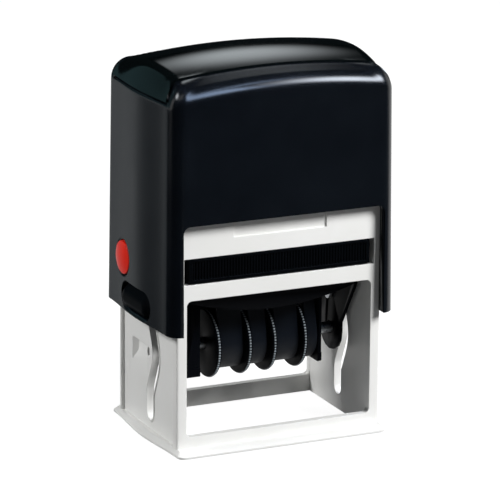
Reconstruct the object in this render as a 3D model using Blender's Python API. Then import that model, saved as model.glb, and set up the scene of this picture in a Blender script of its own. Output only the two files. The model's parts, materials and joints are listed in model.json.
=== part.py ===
# Self-inking date stamp with a white inner frame, a black press-down cover, a date unit that turns over on
# two cam pins, and an ink pad tray. Metres, +Z up, the stamp stands on its foot at Z = 0, front at -Y.
import math

import bmesh
import bpy
from mathutils import Vector

mm = 0.001

# Shared clearances
clearance = 0.3 * mm
overrun = 3.0 * mm
overlap = 0.3 * mm
weld = 0.0003 * mm

# Press stroke and the turn-over of the date unit
press_stroke = 30.7 * mm
die_radius = 8.4 * mm
cam_arm = 4.1 * mm
wheel_drop = 14.4 * mm
pivot_z = press_stroke + die_radius

# Cover: the outer casing
cover_width = 68.0 * mm
cover_depth = 47.6 * mm
cover_foot_gap = 4.0 * mm
cover_wall = 1.8 * mm
cover_corner = 4.1 * mm
cover_bow = 1.0 * mm
cover_draft_share = 0.0095
crest_rise = 8.3 * mm
arch_half_width = 30.0 * mm
arch_sag = 2.15 * mm
crown_sag = 0.1 * mm
shoulder_width = 5.8 * mm
shoulder_drop = 7.5 * mm
roll_depth = 3.9 * mm
roll_drop = 4.0 * mm
ring_shares = (1.0, 0.996, 0.983, 0.96, 0.928, 0.885, 0.832, 0.66, 0.44, 0.2)
hidden_ring_shares = (1.0, 0.983, 0.928, 0.832, 0.44)
post_width = 3.7 * mm
post_depth = 3.4 * mm
cutout_corner = 2.0 * mm
half_width = cover_width / 2
half_depth = cover_depth / 2
cover_bottom = press_stroke + cover_foot_gap
cutout_half_width = half_width - post_width

# Frame
frame_side_gap = 1.35 * mm
frame_lip_gap = 0.15 * mm
frame_wall = 2.1 * mm
side_wall = 2.9 * mm
panel_recess = 0.9 * mm
front_rail = 2.9 * mm
rear_rail = 1.5 * mm
frame_corner = 0.6 * mm
window_bottom = 4.8 * mm
window_rail = 4.5 * mm
window_margin = 0.05 * mm
window_corner = 1.5 * mm
tray_slot_gap = 0.7 * mm
tray_slot_height = 7.4 * mm
tray_slot_post = 2.1 * mm
upper_height = 9.4 * mm
label_half_width = 14.0 * mm
label_rise = 4.8 * mm
label_height = 5.6 * mm
label_depth = 0.6 * mm
foot_side_flange = 0.75 * mm
foot_front_flange = 4.05 * mm
foot_bow = 1.4 * mm
foot_corner = 2.0 * mm
foot_edge = 0.6 * mm
foot_height = 1.75 * mm
foot_bevel = 1.9 * mm
deck_thickness = 1.8 * mm
spring_boss_height = 3.0 * mm
cam_slot_width = 4.5 * mm
cam_slot_bottom = 6.6 * mm
frame_half_width = half_width - cover_wall - frame_side_gap
frame_half_depth = half_depth - post_depth - frame_lip_gap
panel_x = frame_half_width - panel_recess
inner_x = frame_half_width - side_wall
inner_y = frame_half_depth - frame_wall
window_half_width = inner_x - window_margin
foot_half_width = frame_half_width + foot_side_flange
foot_half_depth = frame_half_depth + foot_front_flange
die_top = pivot_z + die_radius
band_top = die_top + tray_slot_gap
window_top = band_top - window_rail
tray_slot_top = band_top + tray_slot_height
tray_slot_half_width = frame_half_width - tray_slot_post
deck_bottom = tray_slot_top
deck_top = deck_bottom + deck_thickness
frame_top = deck_top + upper_height
label_bottom = tray_slot_top + label_rise
label_top = label_bottom + label_height

# Where the cover closes over the frame
press_margin = 0.5 * mm
cutout_lap = 1.2 * mm
cover_ceiling = frame_top + press_stroke + press_margin
cutout_top = frame_top - cutout_lap
cover_crest = cover_ceiling + crest_rise

# Cap: the glossy panel let into the top
cap_rail = 8.6 * mm
cap_end_rail = 5.2 * mm
cap_flare_length = 5.0 * mm
cap_fade_length = 3.0 * mm
cap_rise = 1.5 * mm
cap_thickness = 1.5 * mm
cap_crown = 2.4 * mm
cap_proud = 0.3 * mm
cap_half_depth = half_depth - cap_rail
cap_flare_depth = half_depth - cap_end_rail
cap_flare_start = half_width - cap_flare_length
cap_fade_start = half_width - cap_fade_length
cap_bottom = cover_ceiling + cap_rise
crown_half_depth = cap_half_depth

# Red lock buttons in the cover's sides
button_y = 9.3 * mm
button_rise = 14.7 * mm
button_radius = 4.75 * mm
button_dome = 0.7 * mm
button_flange = 0.8 * mm
button_flange_radius = 6.0 * mm
button_ring_radius = 5.5 * mm
button_ring_depth = 0.5 * mm
button_dome_shares = ((0.93, -0.2), (0.7, 0.55), (0.35, 0.92), (0.0, 1.0))
button_z = cover_bottom + button_rise

# Oval guide shoes at the cover's lower edge
shoe_half_length = 9.9 * mm
shoe_half_height = 4.0 * mm
shoe_rise = 4.5 * mm
shoe_flange = 1.2 * mm
shoe_pocket_depth = 2.0 * mm
shoe_lean_rear = 1.1 * mm
shoe_lean_down = 0.6 * mm
shoe_dome_shares = ((1.0, 0.0), (1.0, 0.1), (0.8, 0.22), (0.4, 0.34), (0.15, 0.48), (0.03, 0.66), (0.0, 0.85))
shoe_lean_share = 0.34
shoe_z = cover_bottom + shoe_rise

# Lock pocket and peep hole in the side panels
pocket_front = 2.6 * mm
pocket_rear = 12.8 * mm
pocket_bottom = 18.4 * mm
pocket_top = 25.2 * mm
pocket_depth = 1.2 * mm
pocket_front_slope = 1.0 * mm
pocket_rear_slope = 3.5 * mm
pocket_bottom_slope = 3.1 * mm
pocket_top_slope = 0.5 * mm
peep_y = 1.4 * mm
peep_z = 23.6 * mm
peep_half_width = 0.7 * mm
peep_half_height = 1.3 * mm

# Yoke: the bridge and two legs that hang in the cover
leg_wall_gap = 0.3 * mm
leg_thickness = 0.8 * mm
leg_front = 3.4 * mm
leg_rear = 10.4 * mm
leg_eye_radius = 2.5 * mm
leg_arm_half_height = 1.7 * mm
bridge_thickness = 1.6 * mm
leg_outer = inner_x - leg_wall_gap
leg_inner = leg_outer - leg_thickness

# Date unit
unit_leg_gap = 0.65 * mm
end_plate_thickness = 1.0 * mm
end_plate_shoulder = 4.0 * mm
end_plate_top_gap = 1.9 * mm
tongue_half_width = 6.4 * mm
tongue_waist = 2.9 * mm
unit_swing_gap = 2.75 * mm
skirt_thickness = 1.2 * mm
skirt_sag = 4.4 * mm
skirt_drop = 4.8 * mm
unit_deck_thickness = 1.8 * mm
text_plate_margin = 1.2 * mm
text_plate_thickness = 1.7 * mm
rubber_thickness = 1.5 * mm
rubber_margin = 1.9 * mm
rubber_border = 1.0 * mm
rubber_seat = 0.05 * mm
relief_depth = 0.5 * mm
text_plate_corner = 1.0 * mm
band_window_half_depth = 3.8 * mm
unit_half_width = leg_inner - unit_leg_gap
plate_half_depth = inner_y - unit_swing_gap
text_plate_half_width = unit_half_width - text_plate_margin
rubber_half_depth = plate_half_depth - rubber_margin
wheel_z = pivot_z - wheel_drop
cam_z = pivot_z - cam_arm
rubber_bottom = die_top - rubber_thickness
text_plate_top = rubber_bottom - rubber_seat
text_plate_bottom = text_plate_top - text_plate_thickness
unit_deck_top = text_plate_bottom - clearance
unit_deck_bottom = unit_deck_top - unit_deck_thickness
skirt_bottom = unit_deck_bottom - skirt_drop
end_plate_top = die_top - end_plate_top_gap

# Pins
pivot_pin_radius = 1.2 * mm
pin_head_radius = 2.0 * mm
pin_head = 0.7 * mm
cam_head_radius = 1.7 * mm
cam_neck_radius = 1.2 * mm
cam_roller_gap = 0.15 * mm

# Setting wheels and type bands
shaft_radius = 1.6 * mm
wheel_radius = 9.8 * mm
wheel_tooth = 0.35 * mm
wheel_teeth = 54
tooth_shares = ((0.0, 0.0), (0.5, 1.0))
wheel_disc = 1.4 * mm
hub_radius = 6.3 * mm
band_thickness = 0.9 * mm
nose_radius = 2.0 * mm
inner_wheel_x = 3.8 * mm
wheel_block_gap = 4.8 * mm
band_side_gap = 2.2 * mm
middle_band_gap = 2.6 * mm
last_band = 3.6 * mm
unit_left_gap = 4.0 * mm
unit_left_block = 4.2 * mm
unit_right_plate = 1.2 * mm
side_block_half_depth = 7.2 * mm
side_block_drop = 7.4 * mm
block_foot_height = 2.6 * mm
unit_left = unit_half_width - unit_left_gap
outer_wheel_x = unit_left - unit_left_block - wheel_block_gap
wide_band = outer_wheel_x - inner_wheel_x - band_side_gap
narrow_band = 2 * inner_wheel_x - middle_band_gap
nose_z = die_top - band_thickness - clearance - nose_radius
side_block_bottom = wheel_z - side_block_drop

# Ink pad tray
tray_side_gap = 2.6 * mm
tray_end_gap = 1.4 * mm
tray_wall = 0.8 * mm
tray_roof = 1.6 * mm
tray_front_thickness = 2.0 * mm
tray_rear_inset = 0.25 * mm
tray_rib_margin = 1.0 * mm
tray_rib_pitch = 0.9 * mm
tray_rib_depth = 0.4 * mm
pad_margin = 0.2 * mm
pad_height = 4.4 * mm
tray_half_width = tray_slot_half_width - tray_side_gap
tray_front_half_width = tray_slot_half_width - tray_end_gap
tray_rear_reach = frame_half_depth - tray_rear_inset
pad_half_depth = plate_half_depth - pad_margin
tray_bottom = band_top + clearance
tray_top = tray_slot_top - clearance

# Return springs
spring_wall_gap = 8.95 * mm
spring_y = 7.0 * mm
spring_radius = 3.6 * mm
spring_wire = 0.4 * mm
spring_turns = 8
spring_points_per_turn = 8
spring_x = inner_x - spring_wall_gap

# Yoke screws
screw_x = 14.0 * mm
screw_head_radius = 2.4 * mm
screw_head = 1.2 * mm
screw_radius = 1.2 * mm

# How finely curves are drawn
cam_path_steps = 24
cam_end_steps = 6
skirt_steps = 14
nose_steps = 10
hub_steps = 18
tongue_steps = 8
flare_steps = 6
cover_front_steps = 10


def material(name, colour, roughness, metallic=0.0):
    made = bpy.data.materials.new(name)
    made.use_nodes = True
    shader = made.node_tree.nodes["Principled BSDF"]
    shader.inputs["Base Color"].default_value = (*colour, 1.0)
    shader.inputs["Roughness"].default_value = roughness
    shader.inputs["Metallic"].default_value = metallic
    return made


# Making and joining shapes
def swept(outline, axis, low, high):
    """Closed solid: an outline of (a, b) points carried along an axis from low to high."""
    places = {
        "x": lambda a, b, h: (h, a, b),
        "y": lambda a, b, h: (a, h, b),
        "z": lambda a, b, h: (a, b, h),
    }
    place = places[axis]
    return lofted([[place(a, b, h) for a, b in outline] for h in (low, high)])


def lofted(rings):
    """Closed solid through rings of equally many points."""
    mesh = bmesh.new()
    made = [[mesh.verts.new(point) for point in ring] for ring in rings]
    count = len(made[0])
    for lower, upper in zip(made, made[1:]):
        for i in range(count):
            j = (i + 1) % count
            mesh.faces.new((lower[i], lower[j], upper[j], upper[i]))
    mesh.faces.new(made[0])
    mesh.faces.new(made[-1])
    bmesh.ops.recalc_face_normals(mesh, faces=mesh.faces)
    return mesh


def box(x_low, x_high, y_low, y_high, z_low, z_high):
    outline = [(x_low, y_low), (x_high, y_low), (x_high, y_high), (x_low, y_high)]
    return swept(outline, "z", z_low, z_high)


def turned(profile, centre, axis="x", steps=24):
    """Closed solid: (radius, height) points turned about an axis through centre; the ends lie on the axis."""
    rings = []
    for radius, height in profile:
        ring = []
        for i in range(steps):
            angle = math.tau * i / steps
            a, b = radius * math.cos(angle), radius * math.sin(angle)
            local = (height, a, b) if axis == "x" else (a, b, height)
            ring.append(Vector(centre) + Vector(local))
        rings.append(ring)
    mesh = lofted(rings)
    bmesh.ops.remove_doubles(mesh, verts=mesh.verts, dist=weld)
    bmesh.ops.recalc_face_normals(mesh, faces=mesh.faces)
    return mesh


def round_rectangle(half_a, half_b, radius, steps=4, bow=0.0, bow_steps=0, front_steps=0):
    """Outline with rounded corners; bow pushes the sides at +a and -a outwards in the middle."""
    points = []
    for corner, (sign_a, sign_b) in enumerate(((1, 1), (-1, 1), (-1, -1), (1, -1))):
        start = corner * math.pi / 2
        for i in range(steps + 1):
            angle = start + math.pi / 2 * i / steps
            a = sign_a * (half_a - radius) + radius * math.cos(angle)
            b = sign_b * (half_b - radius) + radius * math.sin(angle)
            points.append((a, b))
        if bow_steps and corner in (1, 3):
            side = 1 if corner == 3 else -1
            for i in range(1, bow_steps):
                t = -1 + 2 * i / bow_steps
                points.append((side * (half_a + bowed(bow, t)), side * (half_b - radius) * t))
        if front_steps and corner in (0, 2):
            side = 1 if corner == 0 else -1
            for i in range(1, front_steps):
                t = 1 - 2 * i / front_steps
                points.append((side * (half_a - radius) * t, side * half_b))
    return points


def bowed(bow, t):
    """How far a side stands out at a share t of its half length: most in the middle, nothing at the ends."""
    return bow * (1 + math.cos(math.pi * t)) / 2


def shifted(outline, a, b):
    return [(x + a, y + b) for x, y in outline]


def circle(radius, steps=24):
    angles = [math.tau * i / steps for i in range(steps)]
    return [(radius * math.cos(angle), radius * math.sin(angle)) for angle in angles]


def temporary(mesh):
    data = bpy.data.meshes.new("shape")
    mesh.to_mesh(data)
    mesh.free()
    made = bpy.data.objects.new("shape", data)
    bpy.context.scene.collection.objects.link(made)
    return made


def combined(base, tools, operation):
    """The base mesh after each tool mesh is cut from it, joined to it or kept in common with it."""
    target = temporary(base)
    for tool in tools:
        other = temporary(tool)
        change = target.modifiers.new("change", "BOOLEAN")
        change.operation = operation
        change.object = other
        graph = bpy.context.evaluated_depsgraph_get()
        result = bpy.data.meshes.new_from_object(target.evaluated_get(graph))
        target.modifiers.clear()
        target.data = result
        bpy.data.objects.remove(other)
    mesh = bmesh.new()
    mesh.from_mesh(target.data)
    bpy.data.objects.remove(target)
    return mesh


def cut(base, *tools):
    return combined(base, tools, "DIFFERENCE")


def joined(base, *tools):
    return combined(base, tools, "UNION")


def common(base, *tools):
    return combined(base, tools, "INTERSECT")


def piece(name, mesh, look, origin=(0, 0, 0), parent=None):
    """A named object with its origin where it turns or slides, and its mesh where it was drawn."""
    bmesh.ops.translate(mesh, vec=-Vector(origin), verts=mesh.verts)
    data = bpy.data.meshes.new(name)
    mesh.to_mesh(data)
    mesh.free()
    data.materials.append(look)
    data.shade_smooth()
    data.set_sharp_from_angle(angle=math.radians(35))
    made = bpy.data.objects.new(name, data)
    bpy.context.scene.collection.objects.link(made)
    made.location = origin
    hang(made, parent)
    return made


def hang(made, parent):
    if parent is not None:
        made.parent = parent
        made.location = made.location - Vector(parent["place"])


def station(name, place, parent=None):
    """An empty on a joint's axis, which carries the pieces that move there."""
    made = bpy.data.objects.new(name, None)
    bpy.context.scene.collection.objects.link(made)
    made.location = place
    made["place"] = place
    hang(made, parent)
    return made


# The casing's form, shared by the cover and its cap
def casing_outline(height, inset):
    shrink = cover_draft_share * (height - cover_bottom)
    return round_rectangle(
        half_width - shrink - inset,
        half_depth - shrink - inset,
        cover_corner - inset / 2,
        steps=5,
        bow=cover_bow,
        bow_steps=8,
        front_steps=cover_front_steps,
    )


def casing_x(y, height, inset):
    """Half width of the casing at a point of its side."""
    straight = half_depth - inset - (cover_corner - inset / 2)
    bow = bowed(cover_bow, y / straight)
    return half_width - cover_draft_share * (height - cover_bottom) - inset + bow


def roll(distance, width):
    """0 before the roll, rising to 1 at its end, along a quarter of an ellipse."""
    share = min(max(distance / width, 0.0), 1.0)
    return 1 - math.sqrt(1 - share * share)


def roof(x, y, half_x, half_y):
    """Height of the casing's top over a point, in the plan whose half sizes are given."""
    arch = arch_sag * (x / arch_half_width) ** 2
    crown = crown_sag * (y / crown_half_depth) ** 2
    over_side = abs(x) - (half_x - shoulder_width)
    over_front = abs(y) - (half_y - roll_depth)
    return (
        cover_crest
        - arch
        - crown
        - shoulder_drop * roll(over_side, shoulder_width)
        - roll_drop * roll(over_front, roll_depth)
    )


def lens(x, y):
    """Extra height of the cap's crown."""
    across = max(1 - (y / cap_half_depth) ** 2, 0.0)
    edge = min(max((abs(x) - cap_fade_start) / cap_fade_length, 0.0), 1.0)
    return cap_crown * across * (1 - edge * edge)


def casing(inset, bottom, crowned=False, shares=ring_shares):
    """Solid of the casing's outer form, set in by inset."""
    wall_height = cover_ceiling
    outline = casing_outline(wall_height, inset)
    half_x = max(x for x, y in outline)
    half_y = max(y for x, y in outline)
    rings = [[(x, y, bottom) for x, y in casing_outline(bottom, inset)]]
    for share in shares:
        ring = []
        for x, y in outline:
            height = roof(x * share, y * share, half_x, half_y) - inset
            if crowned:
                height += lens(x * share, y * share)
            ring.append((x * share, y * share, height))
        rings.append(ring)
    return lofted(rings)


def cap_region(grow):
    """Plan outline of the cap, wider at the shoulders, as a tall solid above its lower edge."""
    outline = []
    depth = cap_half_depth + grow
    flare = cap_flare_depth + grow
    reach = half_width + cover_bow + overrun
    steps = flare_steps
    side = []
    for i in range(steps + 1):
        share = i / steps
        x = cap_flare_start + (half_width - cap_flare_start) * share
        rise = (1 - math.cos(math.pi * share)) / 2
        side.append((x, depth + (flare - depth) * rise))
    side.append((reach, flare))
    outline += side
    outline += [(x, -y) for x, y in reversed(side)]
    outline += [(-x, -y) for x, y in side]
    outline += [(-x, y) for x, y in reversed(side)]
    return swept(outline, "z", cap_bottom - grow, cover_crest + cap_crown + overrun)


def make_top_cap(parent, look):
    outer = casing(-cap_proud, cover_ceiling - overrun, crowned=True)
    core = casing(cap_thickness, cover_ceiling - 2 * overrun, crowned=True, shares=hidden_ring_shares)
    return piece("top_cap", common(cut(outer, core), cap_region(0.0)), look, (0, 0, cover_ceiling), parent)


def make_cover(parent, look):
    body = casing(0.0, cover_bottom)
    seat_floor = casing(
        cap_thickness + clearance, cover_ceiling - 2 * overrun, crowned=True, shares=hidden_ring_shares
    )
    seat = cut(cap_region(clearance), seat_floor)
    cavity_low = [(x, y, cover_bottom - overrun) for x, y in casing_outline(cover_bottom, cover_wall)]
    cavity_high = [(x, y, cover_ceiling) for x, y in casing_outline(cover_ceiling, cover_wall)]
    cavity = lofted([cavity_low, cavity_high])
    lip_top = cutout_top + post_depth
    lip = lofted([cavity_low, [(x, y, lip_top) for x, y in casing_outline(cutout_top, cover_wall)]])
    lip_bore = swept(
        round_rectangle(half_width - cover_wall, half_depth - post_depth, cover_corner - cover_wall),
        "z",
        cover_bottom - 2 * overrun,
        cutout_top + 2 * overrun,
    )
    cavity = cut(cavity, cut(lip, lip_bore))
    # The window in front and rear, round at its upper corners and open below
    outline = shifted(
        round_rectangle(cutout_half_width, cutout_top - cover_bottom, cutout_corner), 0, cover_bottom
    )
    window = swept(outline, "y", -half_depth - overrun, half_depth + overrun)
    keep_sides = box(
        -half_width, half_width, -half_depth + post_depth + overrun, half_depth - post_depth - overrun,
        cover_bottom - 2 * overrun, cutout_top + overrun,
    )
    window = cut(window, keep_sides)
    body = cut(body, cavity, seat, window)
    for side in (-1, 1):
        reach = side * (half_width + cover_bow + overrun)
        inside = side * (half_width - cover_wall - overrun)
        low, high = sorted((reach, inside))
        bore = swept(shifted(circle(button_radius + clearance), button_y, button_z), "x", low, high)
        ring_floor = side * (casing_x(button_y, button_z, 0.0) - button_ring_depth)
        ring_low, ring_high = sorted((reach, ring_floor))
        ring = swept(shifted(circle(button_ring_radius), button_y, button_z), "x", ring_low, ring_high)
        oval = round_rectangle(
            shoe_half_length + clearance, shoe_half_height + clearance, shoe_half_height + clearance, steps=6
        )
        pocket = swept(shifted(oval, 0, shoe_z), "x", low, high)
        body = cut(body, bore, ring, pocket)
    return piece("cover", body, look, (0, 0, cover_bottom), parent)


def make_buttons(parents, look):
    wall_x = casing_x(button_y, button_z, 0.0)
    start = casing_x(button_y + button_flange_radius, button_z + button_flange_radius, cover_wall) - clearance
    for side, name, parent in ((-1, "left", parents[0]), (1, "right", parents[1])):
        profile = [
            (0.0, start - button_flange),
            (button_flange_radius, start - button_flange),
            (button_flange_radius, start),
            (button_radius, start),
            (button_radius, wall_x - button_ring_depth),
        ]
        profile += [(button_radius * r, wall_x + button_dome * h) for r, h in button_dome_shares]
        mesh = turned([(radius, side * height) for radius, height in profile], (0, button_y, button_z))
        piece("lock_button_" + name, mesh, look, (side * wall_x, button_y, button_z), parent)


def make_shoes(parent, look):
    wall_x = half_width + cover_bow
    for side, name in ((-1, "left"), (1, "right")):
        rings = []
        guide = panel_x + clearance
        inner = half_width - cover_wall - clearance
        stages = [(guide, shoe_flange, 0.0), (inner, shoe_flange, 0.0), (inner, 0.0, 0.0)]
        for depth, inset in shoe_dome_shares:
            lean = min(inset / shoe_lean_share, 1.0)
            stages.append((wall_x - shoe_pocket_depth * depth, -shoe_half_height * inset, lean))
        for x, grow, lean in stages:
            height = shoe_half_height + min(grow, 0.0)
            outline = round_rectangle(shoe_half_length + grow, height, height, steps=5)
            placed = shifted(outline, shoe_lean_rear * lean, shoe_z - shoe_lean_down * lean)
            rings.append([(side * x, y, z) for y, z in placed])
        piece("guide_shoe_" + name, lofted(rings), look, (side * wall_x, 0, shoe_z), parent)


def cam_path(grow=0.0):
    """Outline of the cam slot: the pin's path while the cover goes down, with the slot's width about it."""
    half = cam_slot_width / 2 + grow
    count = cam_path_steps
    centre = []
    for i in range(count + 1):
        turn = math.pi * i / count
        height = pivot_z - press_stroke * i / count - cam_arm * math.cos(turn)
        centre.append(Vector((-cam_arm * math.sin(turn), height)))
    centre.append(Vector((0.0, cam_slot_bottom)))
    left, right = [], []
    for i, point in enumerate(centre):
        before = centre[max(i - 1, 0)]
        after = centre[min(i + 1, len(centre) - 1)]
        along = (after - before).normalized()
        side = Vector((-along.y, along.x)) * half
        left.append(point + side)
        right.append(point - side)
    ends = cam_end_steps
    bottom = [
        centre[-1] + Vector((math.cos(math.pi * i / ends), -math.sin(math.pi * i / ends))) * half
        for i in range(1, ends)
    ]
    top = [
        centre[0] + Vector((-math.cos(math.pi * i / ends), math.sin(math.pi * i / ends))) * half
        for i in range(1, ends)
    ]
    return [tuple(p) for p in left + bottom + right[::-1] + top]


def make_frame(look):
    shell_outline = round_rectangle(frame_half_width, frame_half_depth, frame_corner, steps=2)
    shell = swept(shell_outline, "z", 0, frame_top)
    foot_outline = round_rectangle(
        foot_half_width, foot_half_depth, foot_corner, steps=3, bow=foot_bow, bow_steps=8
    )
    foot_inner = round_rectangle(
        foot_half_width - foot_bevel / 2,
        foot_half_depth - foot_bevel,
        foot_corner / 2,
        steps=3,
        bow=foot_bow / 2,
        bow_steps=8,
    )
    foot = lofted([
        [(x, y, 0) for x, y in foot_outline],
        [(x, y, foot_edge) for x, y in foot_outline],
        [(x, y, foot_height) for x, y in foot_inner],
    ])
    body = joined(shell, foot)
    lower = box(-inner_x, inner_x, -inner_y, inner_y, -overrun, tray_slot_top)
    upper = box(-inner_x, inner_x, -inner_y, inner_y, deck_top, frame_top + overrun)
    body = cut(body, lower, upper)
    through = frame_half_depth + foot_half_depth
    window = shifted(
        round_rectangle(window_half_width, (window_top - window_bottom) / 2, window_corner),
        0,
        (window_top + window_bottom) / 2,
    )
    slot = box(-tray_slot_half_width, tray_slot_half_width, -through, through, band_top, tray_slot_top)
    body = cut(body, swept(window, "y", -through, through), slot)
    label = box(
        -label_half_width, label_half_width, -frame_half_depth - overrun, -frame_half_depth + label_depth,
        label_bottom, label_top,
    )
    cuts = [label]
    path = cam_path()
    for side in (-1, 1):
        low, high = sorted((side * (inner_x - overrun), side * (frame_half_width + overrun)))
        cuts.append(swept(path, "x", low, high))
        panel_low, panel_high = sorted((side * panel_x, side * (frame_half_width + overrun)))
        cuts.append(box(
            panel_low, panel_high, -frame_half_depth + front_rail, frame_half_depth - rear_rail,
            foot_height, frame_top + overrun,
        ))
        mouth = [
            (side * (panel_x + overrun), pocket_front, pocket_rear, pocket_bottom, pocket_top),
            (side * panel_x, pocket_front, pocket_rear, pocket_bottom, pocket_top),
            (
                side * (panel_x - pocket_depth),
                pocket_front + pocket_front_slope,
                pocket_rear - pocket_rear_slope,
                pocket_bottom + pocket_bottom_slope,
                pocket_top - pocket_top_slope,
            ),
        ]
        cuts.append(lofted([[(x, a, c), (x, b, c), (x, b, d), (x, a, d)] for x, a, b, c, d in mouth]))
        peep = round_rectangle(peep_half_width, peep_half_height, peep_half_width)
        cuts.append(swept(shifted(peep, peep_y, peep_z), "x", low, high))
        leg_low, leg_high = sorted((side * (leg_inner - clearance), side * inner_x))
        cuts.append(box(
            leg_low, leg_high, leg_front - clearance * 2, leg_rear + clearance * 2,
            deck_bottom - overrun, deck_top + overrun,
        ))
    body = cut(body, *cuts)
    bosses = []
    for side in (-1, 1):
        radius = spring_radius - spring_wire - clearance * 2
        bosses.append(swept(
            shifted(circle(radius, steps=16), side * spring_x, -spring_y), "z",
            deck_top - deck_thickness / 2, deck_top + spring_boss_height,
        ))
    body = joined(body, *bosses)
    return piece("frame", body, look)


def make_yoke(parent, look):
    top = cover_ceiling - clearance
    bridge = box(-leg_outer, leg_outer, leg_front, leg_rear, top - bridge_thickness, top)
    parts = []
    holes = []
    for side in (-1, 1):
        low, high = sorted((side * leg_inner, side * leg_outer))
        stem = box(low, high, leg_front, leg_rear, pivot_z - leg_eye_radius, top - bridge_thickness / 2)
        arm_low = pivot_z - leg_arm_half_height
        arm = box(low, high, 0, leg_front + leg_thickness, arm_low, arm_low + 2 * leg_arm_half_height)
        eye = swept(shifted(circle(leg_eye_radius), 0, pivot_z), "x", low, high)
        parts += [stem, arm, eye]
        bore = shifted(circle(pivot_pin_radius + clearance, steps=16), 0, pivot_z)
        holes.append(swept(bore, "x", low - overrun, high + overrun))
        holes.append(swept(
            shifted(circle(screw_radius + clearance, steps=16), side * screw_x, (leg_front + leg_rear) / 2),
            "z",
            top - bridge_thickness - overrun, top + overrun,
        ))
    return piece("lift_yoke", cut(joined(bridge, *parts), *holes), look, (0, 0, pivot_z), parent)


def make_screws(parent, look):
    under = cover_ceiling - clearance - bridge_thickness - clearance
    for side, name in ((-1, "left"), (1, "right")):
        profile = [
            (0.0, under - screw_head),
            (screw_head_radius, under - screw_head),
            (screw_head_radius, under),
            (screw_radius, under),
            (screw_radius, cover_ceiling - clearance / 2),
            (0.0, cover_ceiling - clearance / 2),
        ]
        mesh = turned(profile, (side * screw_x, (leg_front + leg_rear) / 2, 0), "z", steps=16)
        piece("yoke_screw_" + name, mesh, look, (side * screw_x, (leg_front + leg_rear) / 2, under), parent)


def make_pins(parent, look):
    plate_inner = unit_half_width - end_plate_thickness
    for side, name in ((-1, "left"), (1, "right")):
        head = plate_inner - clearance
        pivot = [
            (0.0, head - pin_head),
            (pin_head_radius, head - pin_head),
            (pin_head_radius, head),
            (pivot_pin_radius, head),
            (pivot_pin_radius, leg_outer),
            (0.0, leg_outer),
        ]
        mesh = turned([(r, side * h) for r, h in pivot], (0, 0, pivot_z), steps=16)
        piece("pivot_pin_" + name, mesh, look, (0, 0, pivot_z), parent)
        roller = cam_slot_width / 2 - clearance
        start = inner_x + cam_roller_gap
        end = panel_x - cam_roller_gap
        cam = [
            (0.0, head - pin_head),
            (cam_head_radius, head - pin_head),
            (cam_head_radius, head),
            (cam_neck_radius, head),
            (cam_neck_radius, start),
            (roller, start),
            (roller, end),
            (0.0, end),
        ]
        mesh = turned([(r, side * h) for r, h in cam], (0, 0, cam_z), steps=16)
        piece("cam_pin_" + name, mesh, look, (0, 0, pivot_z), parent)


def end_plate_outline():
    """Side view of an end plate: wide at the die, narrowed to a round tongue that holds the wheel shaft."""
    steps = tongue_steps
    right = [
        (plate_half_depth, end_plate_top),
        (plate_half_depth, end_plate_top - end_plate_shoulder),
        (tongue_half_width, wheel_z + tongue_waist),
    ]
    tongue = []
    for i in range(1, steps):
        angle = math.pi * i / steps
        tongue.append((tongue_half_width * math.cos(angle), wheel_z - tongue_half_width * math.sin(angle)))
    return right + [(tongue_half_width, wheel_z)] + tongue + [(-tongue_half_width, wheel_z)] + [
        (-y, z) for y, z in reversed(right)
    ]


def band_columns():
    """Left edge, right edge and wheel place of each type band, from left to right."""
    hub_gap = wheel_disc / 2 + clearance
    return [
        (-outer_wheel_x + hub_gap, -outer_wheel_x + hub_gap + wide_band, -outer_wheel_x),
        (-inner_wheel_x + hub_gap, -inner_wheel_x + hub_gap + narrow_band, -inner_wheel_x),
        (inner_wheel_x + hub_gap, inner_wheel_x + hub_gap + wide_band, inner_wheel_x),
        (outer_wheel_x + hub_gap, outer_wheel_x + hub_gap + last_band, outer_wheel_x),
    ]


def make_unit_body(parent, look):
    plate_inner = unit_half_width - end_plate_thickness
    columns = band_columns()
    deck = box(
        -unit_half_width, unit_half_width, -plate_half_depth, plate_half_depth,
        unit_deck_bottom, unit_deck_top,
    )
    parts = []
    holes = []
    for side in (-1, 1):
        low, high = sorted((side * plate_inner, side * unit_half_width))
        parts.append(swept(end_plate_outline(), "x", low, high))
        for z, radius in ((pivot_z, pivot_pin_radius), (cam_z, cam_neck_radius), (wheel_z, shaft_radius)):
            hole = shifted(circle(radius + clearance, steps=16), 0, z)
            holes.append(swept(hole, "x", low - overrun, high + overrun))
    # The skirts' lower edge is an arc across the front and the rear
    reach = plate_inner + end_plate_thickness / 2
    skirt = [(-reach, unit_deck_top), (reach, unit_deck_top)]
    steps = skirt_steps
    for i in range(steps + 1):
        share = 1 - 2 * i / steps
        skirt.append((share * reach, skirt_bottom + skirt_sag * share * share))
    for side in (-1, 1):
        low, high = sorted((side * plate_half_depth, side * (plate_half_depth - skirt_thickness)))
        parts.append(swept(skirt, "y", low, high))
    window = box(
        columns[0][0] - clearance * 2, columns[3][1] + clearance * 2,
        -band_window_half_depth - clearance * 3, band_window_half_depth + clearance * 3,
        unit_deck_bottom - overrun, unit_deck_top + overrun,
    )
    return piece("unit_body", cut(joined(deck, *parts), window, *holes), look, (0, 0, pivot_z), parent)


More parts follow.
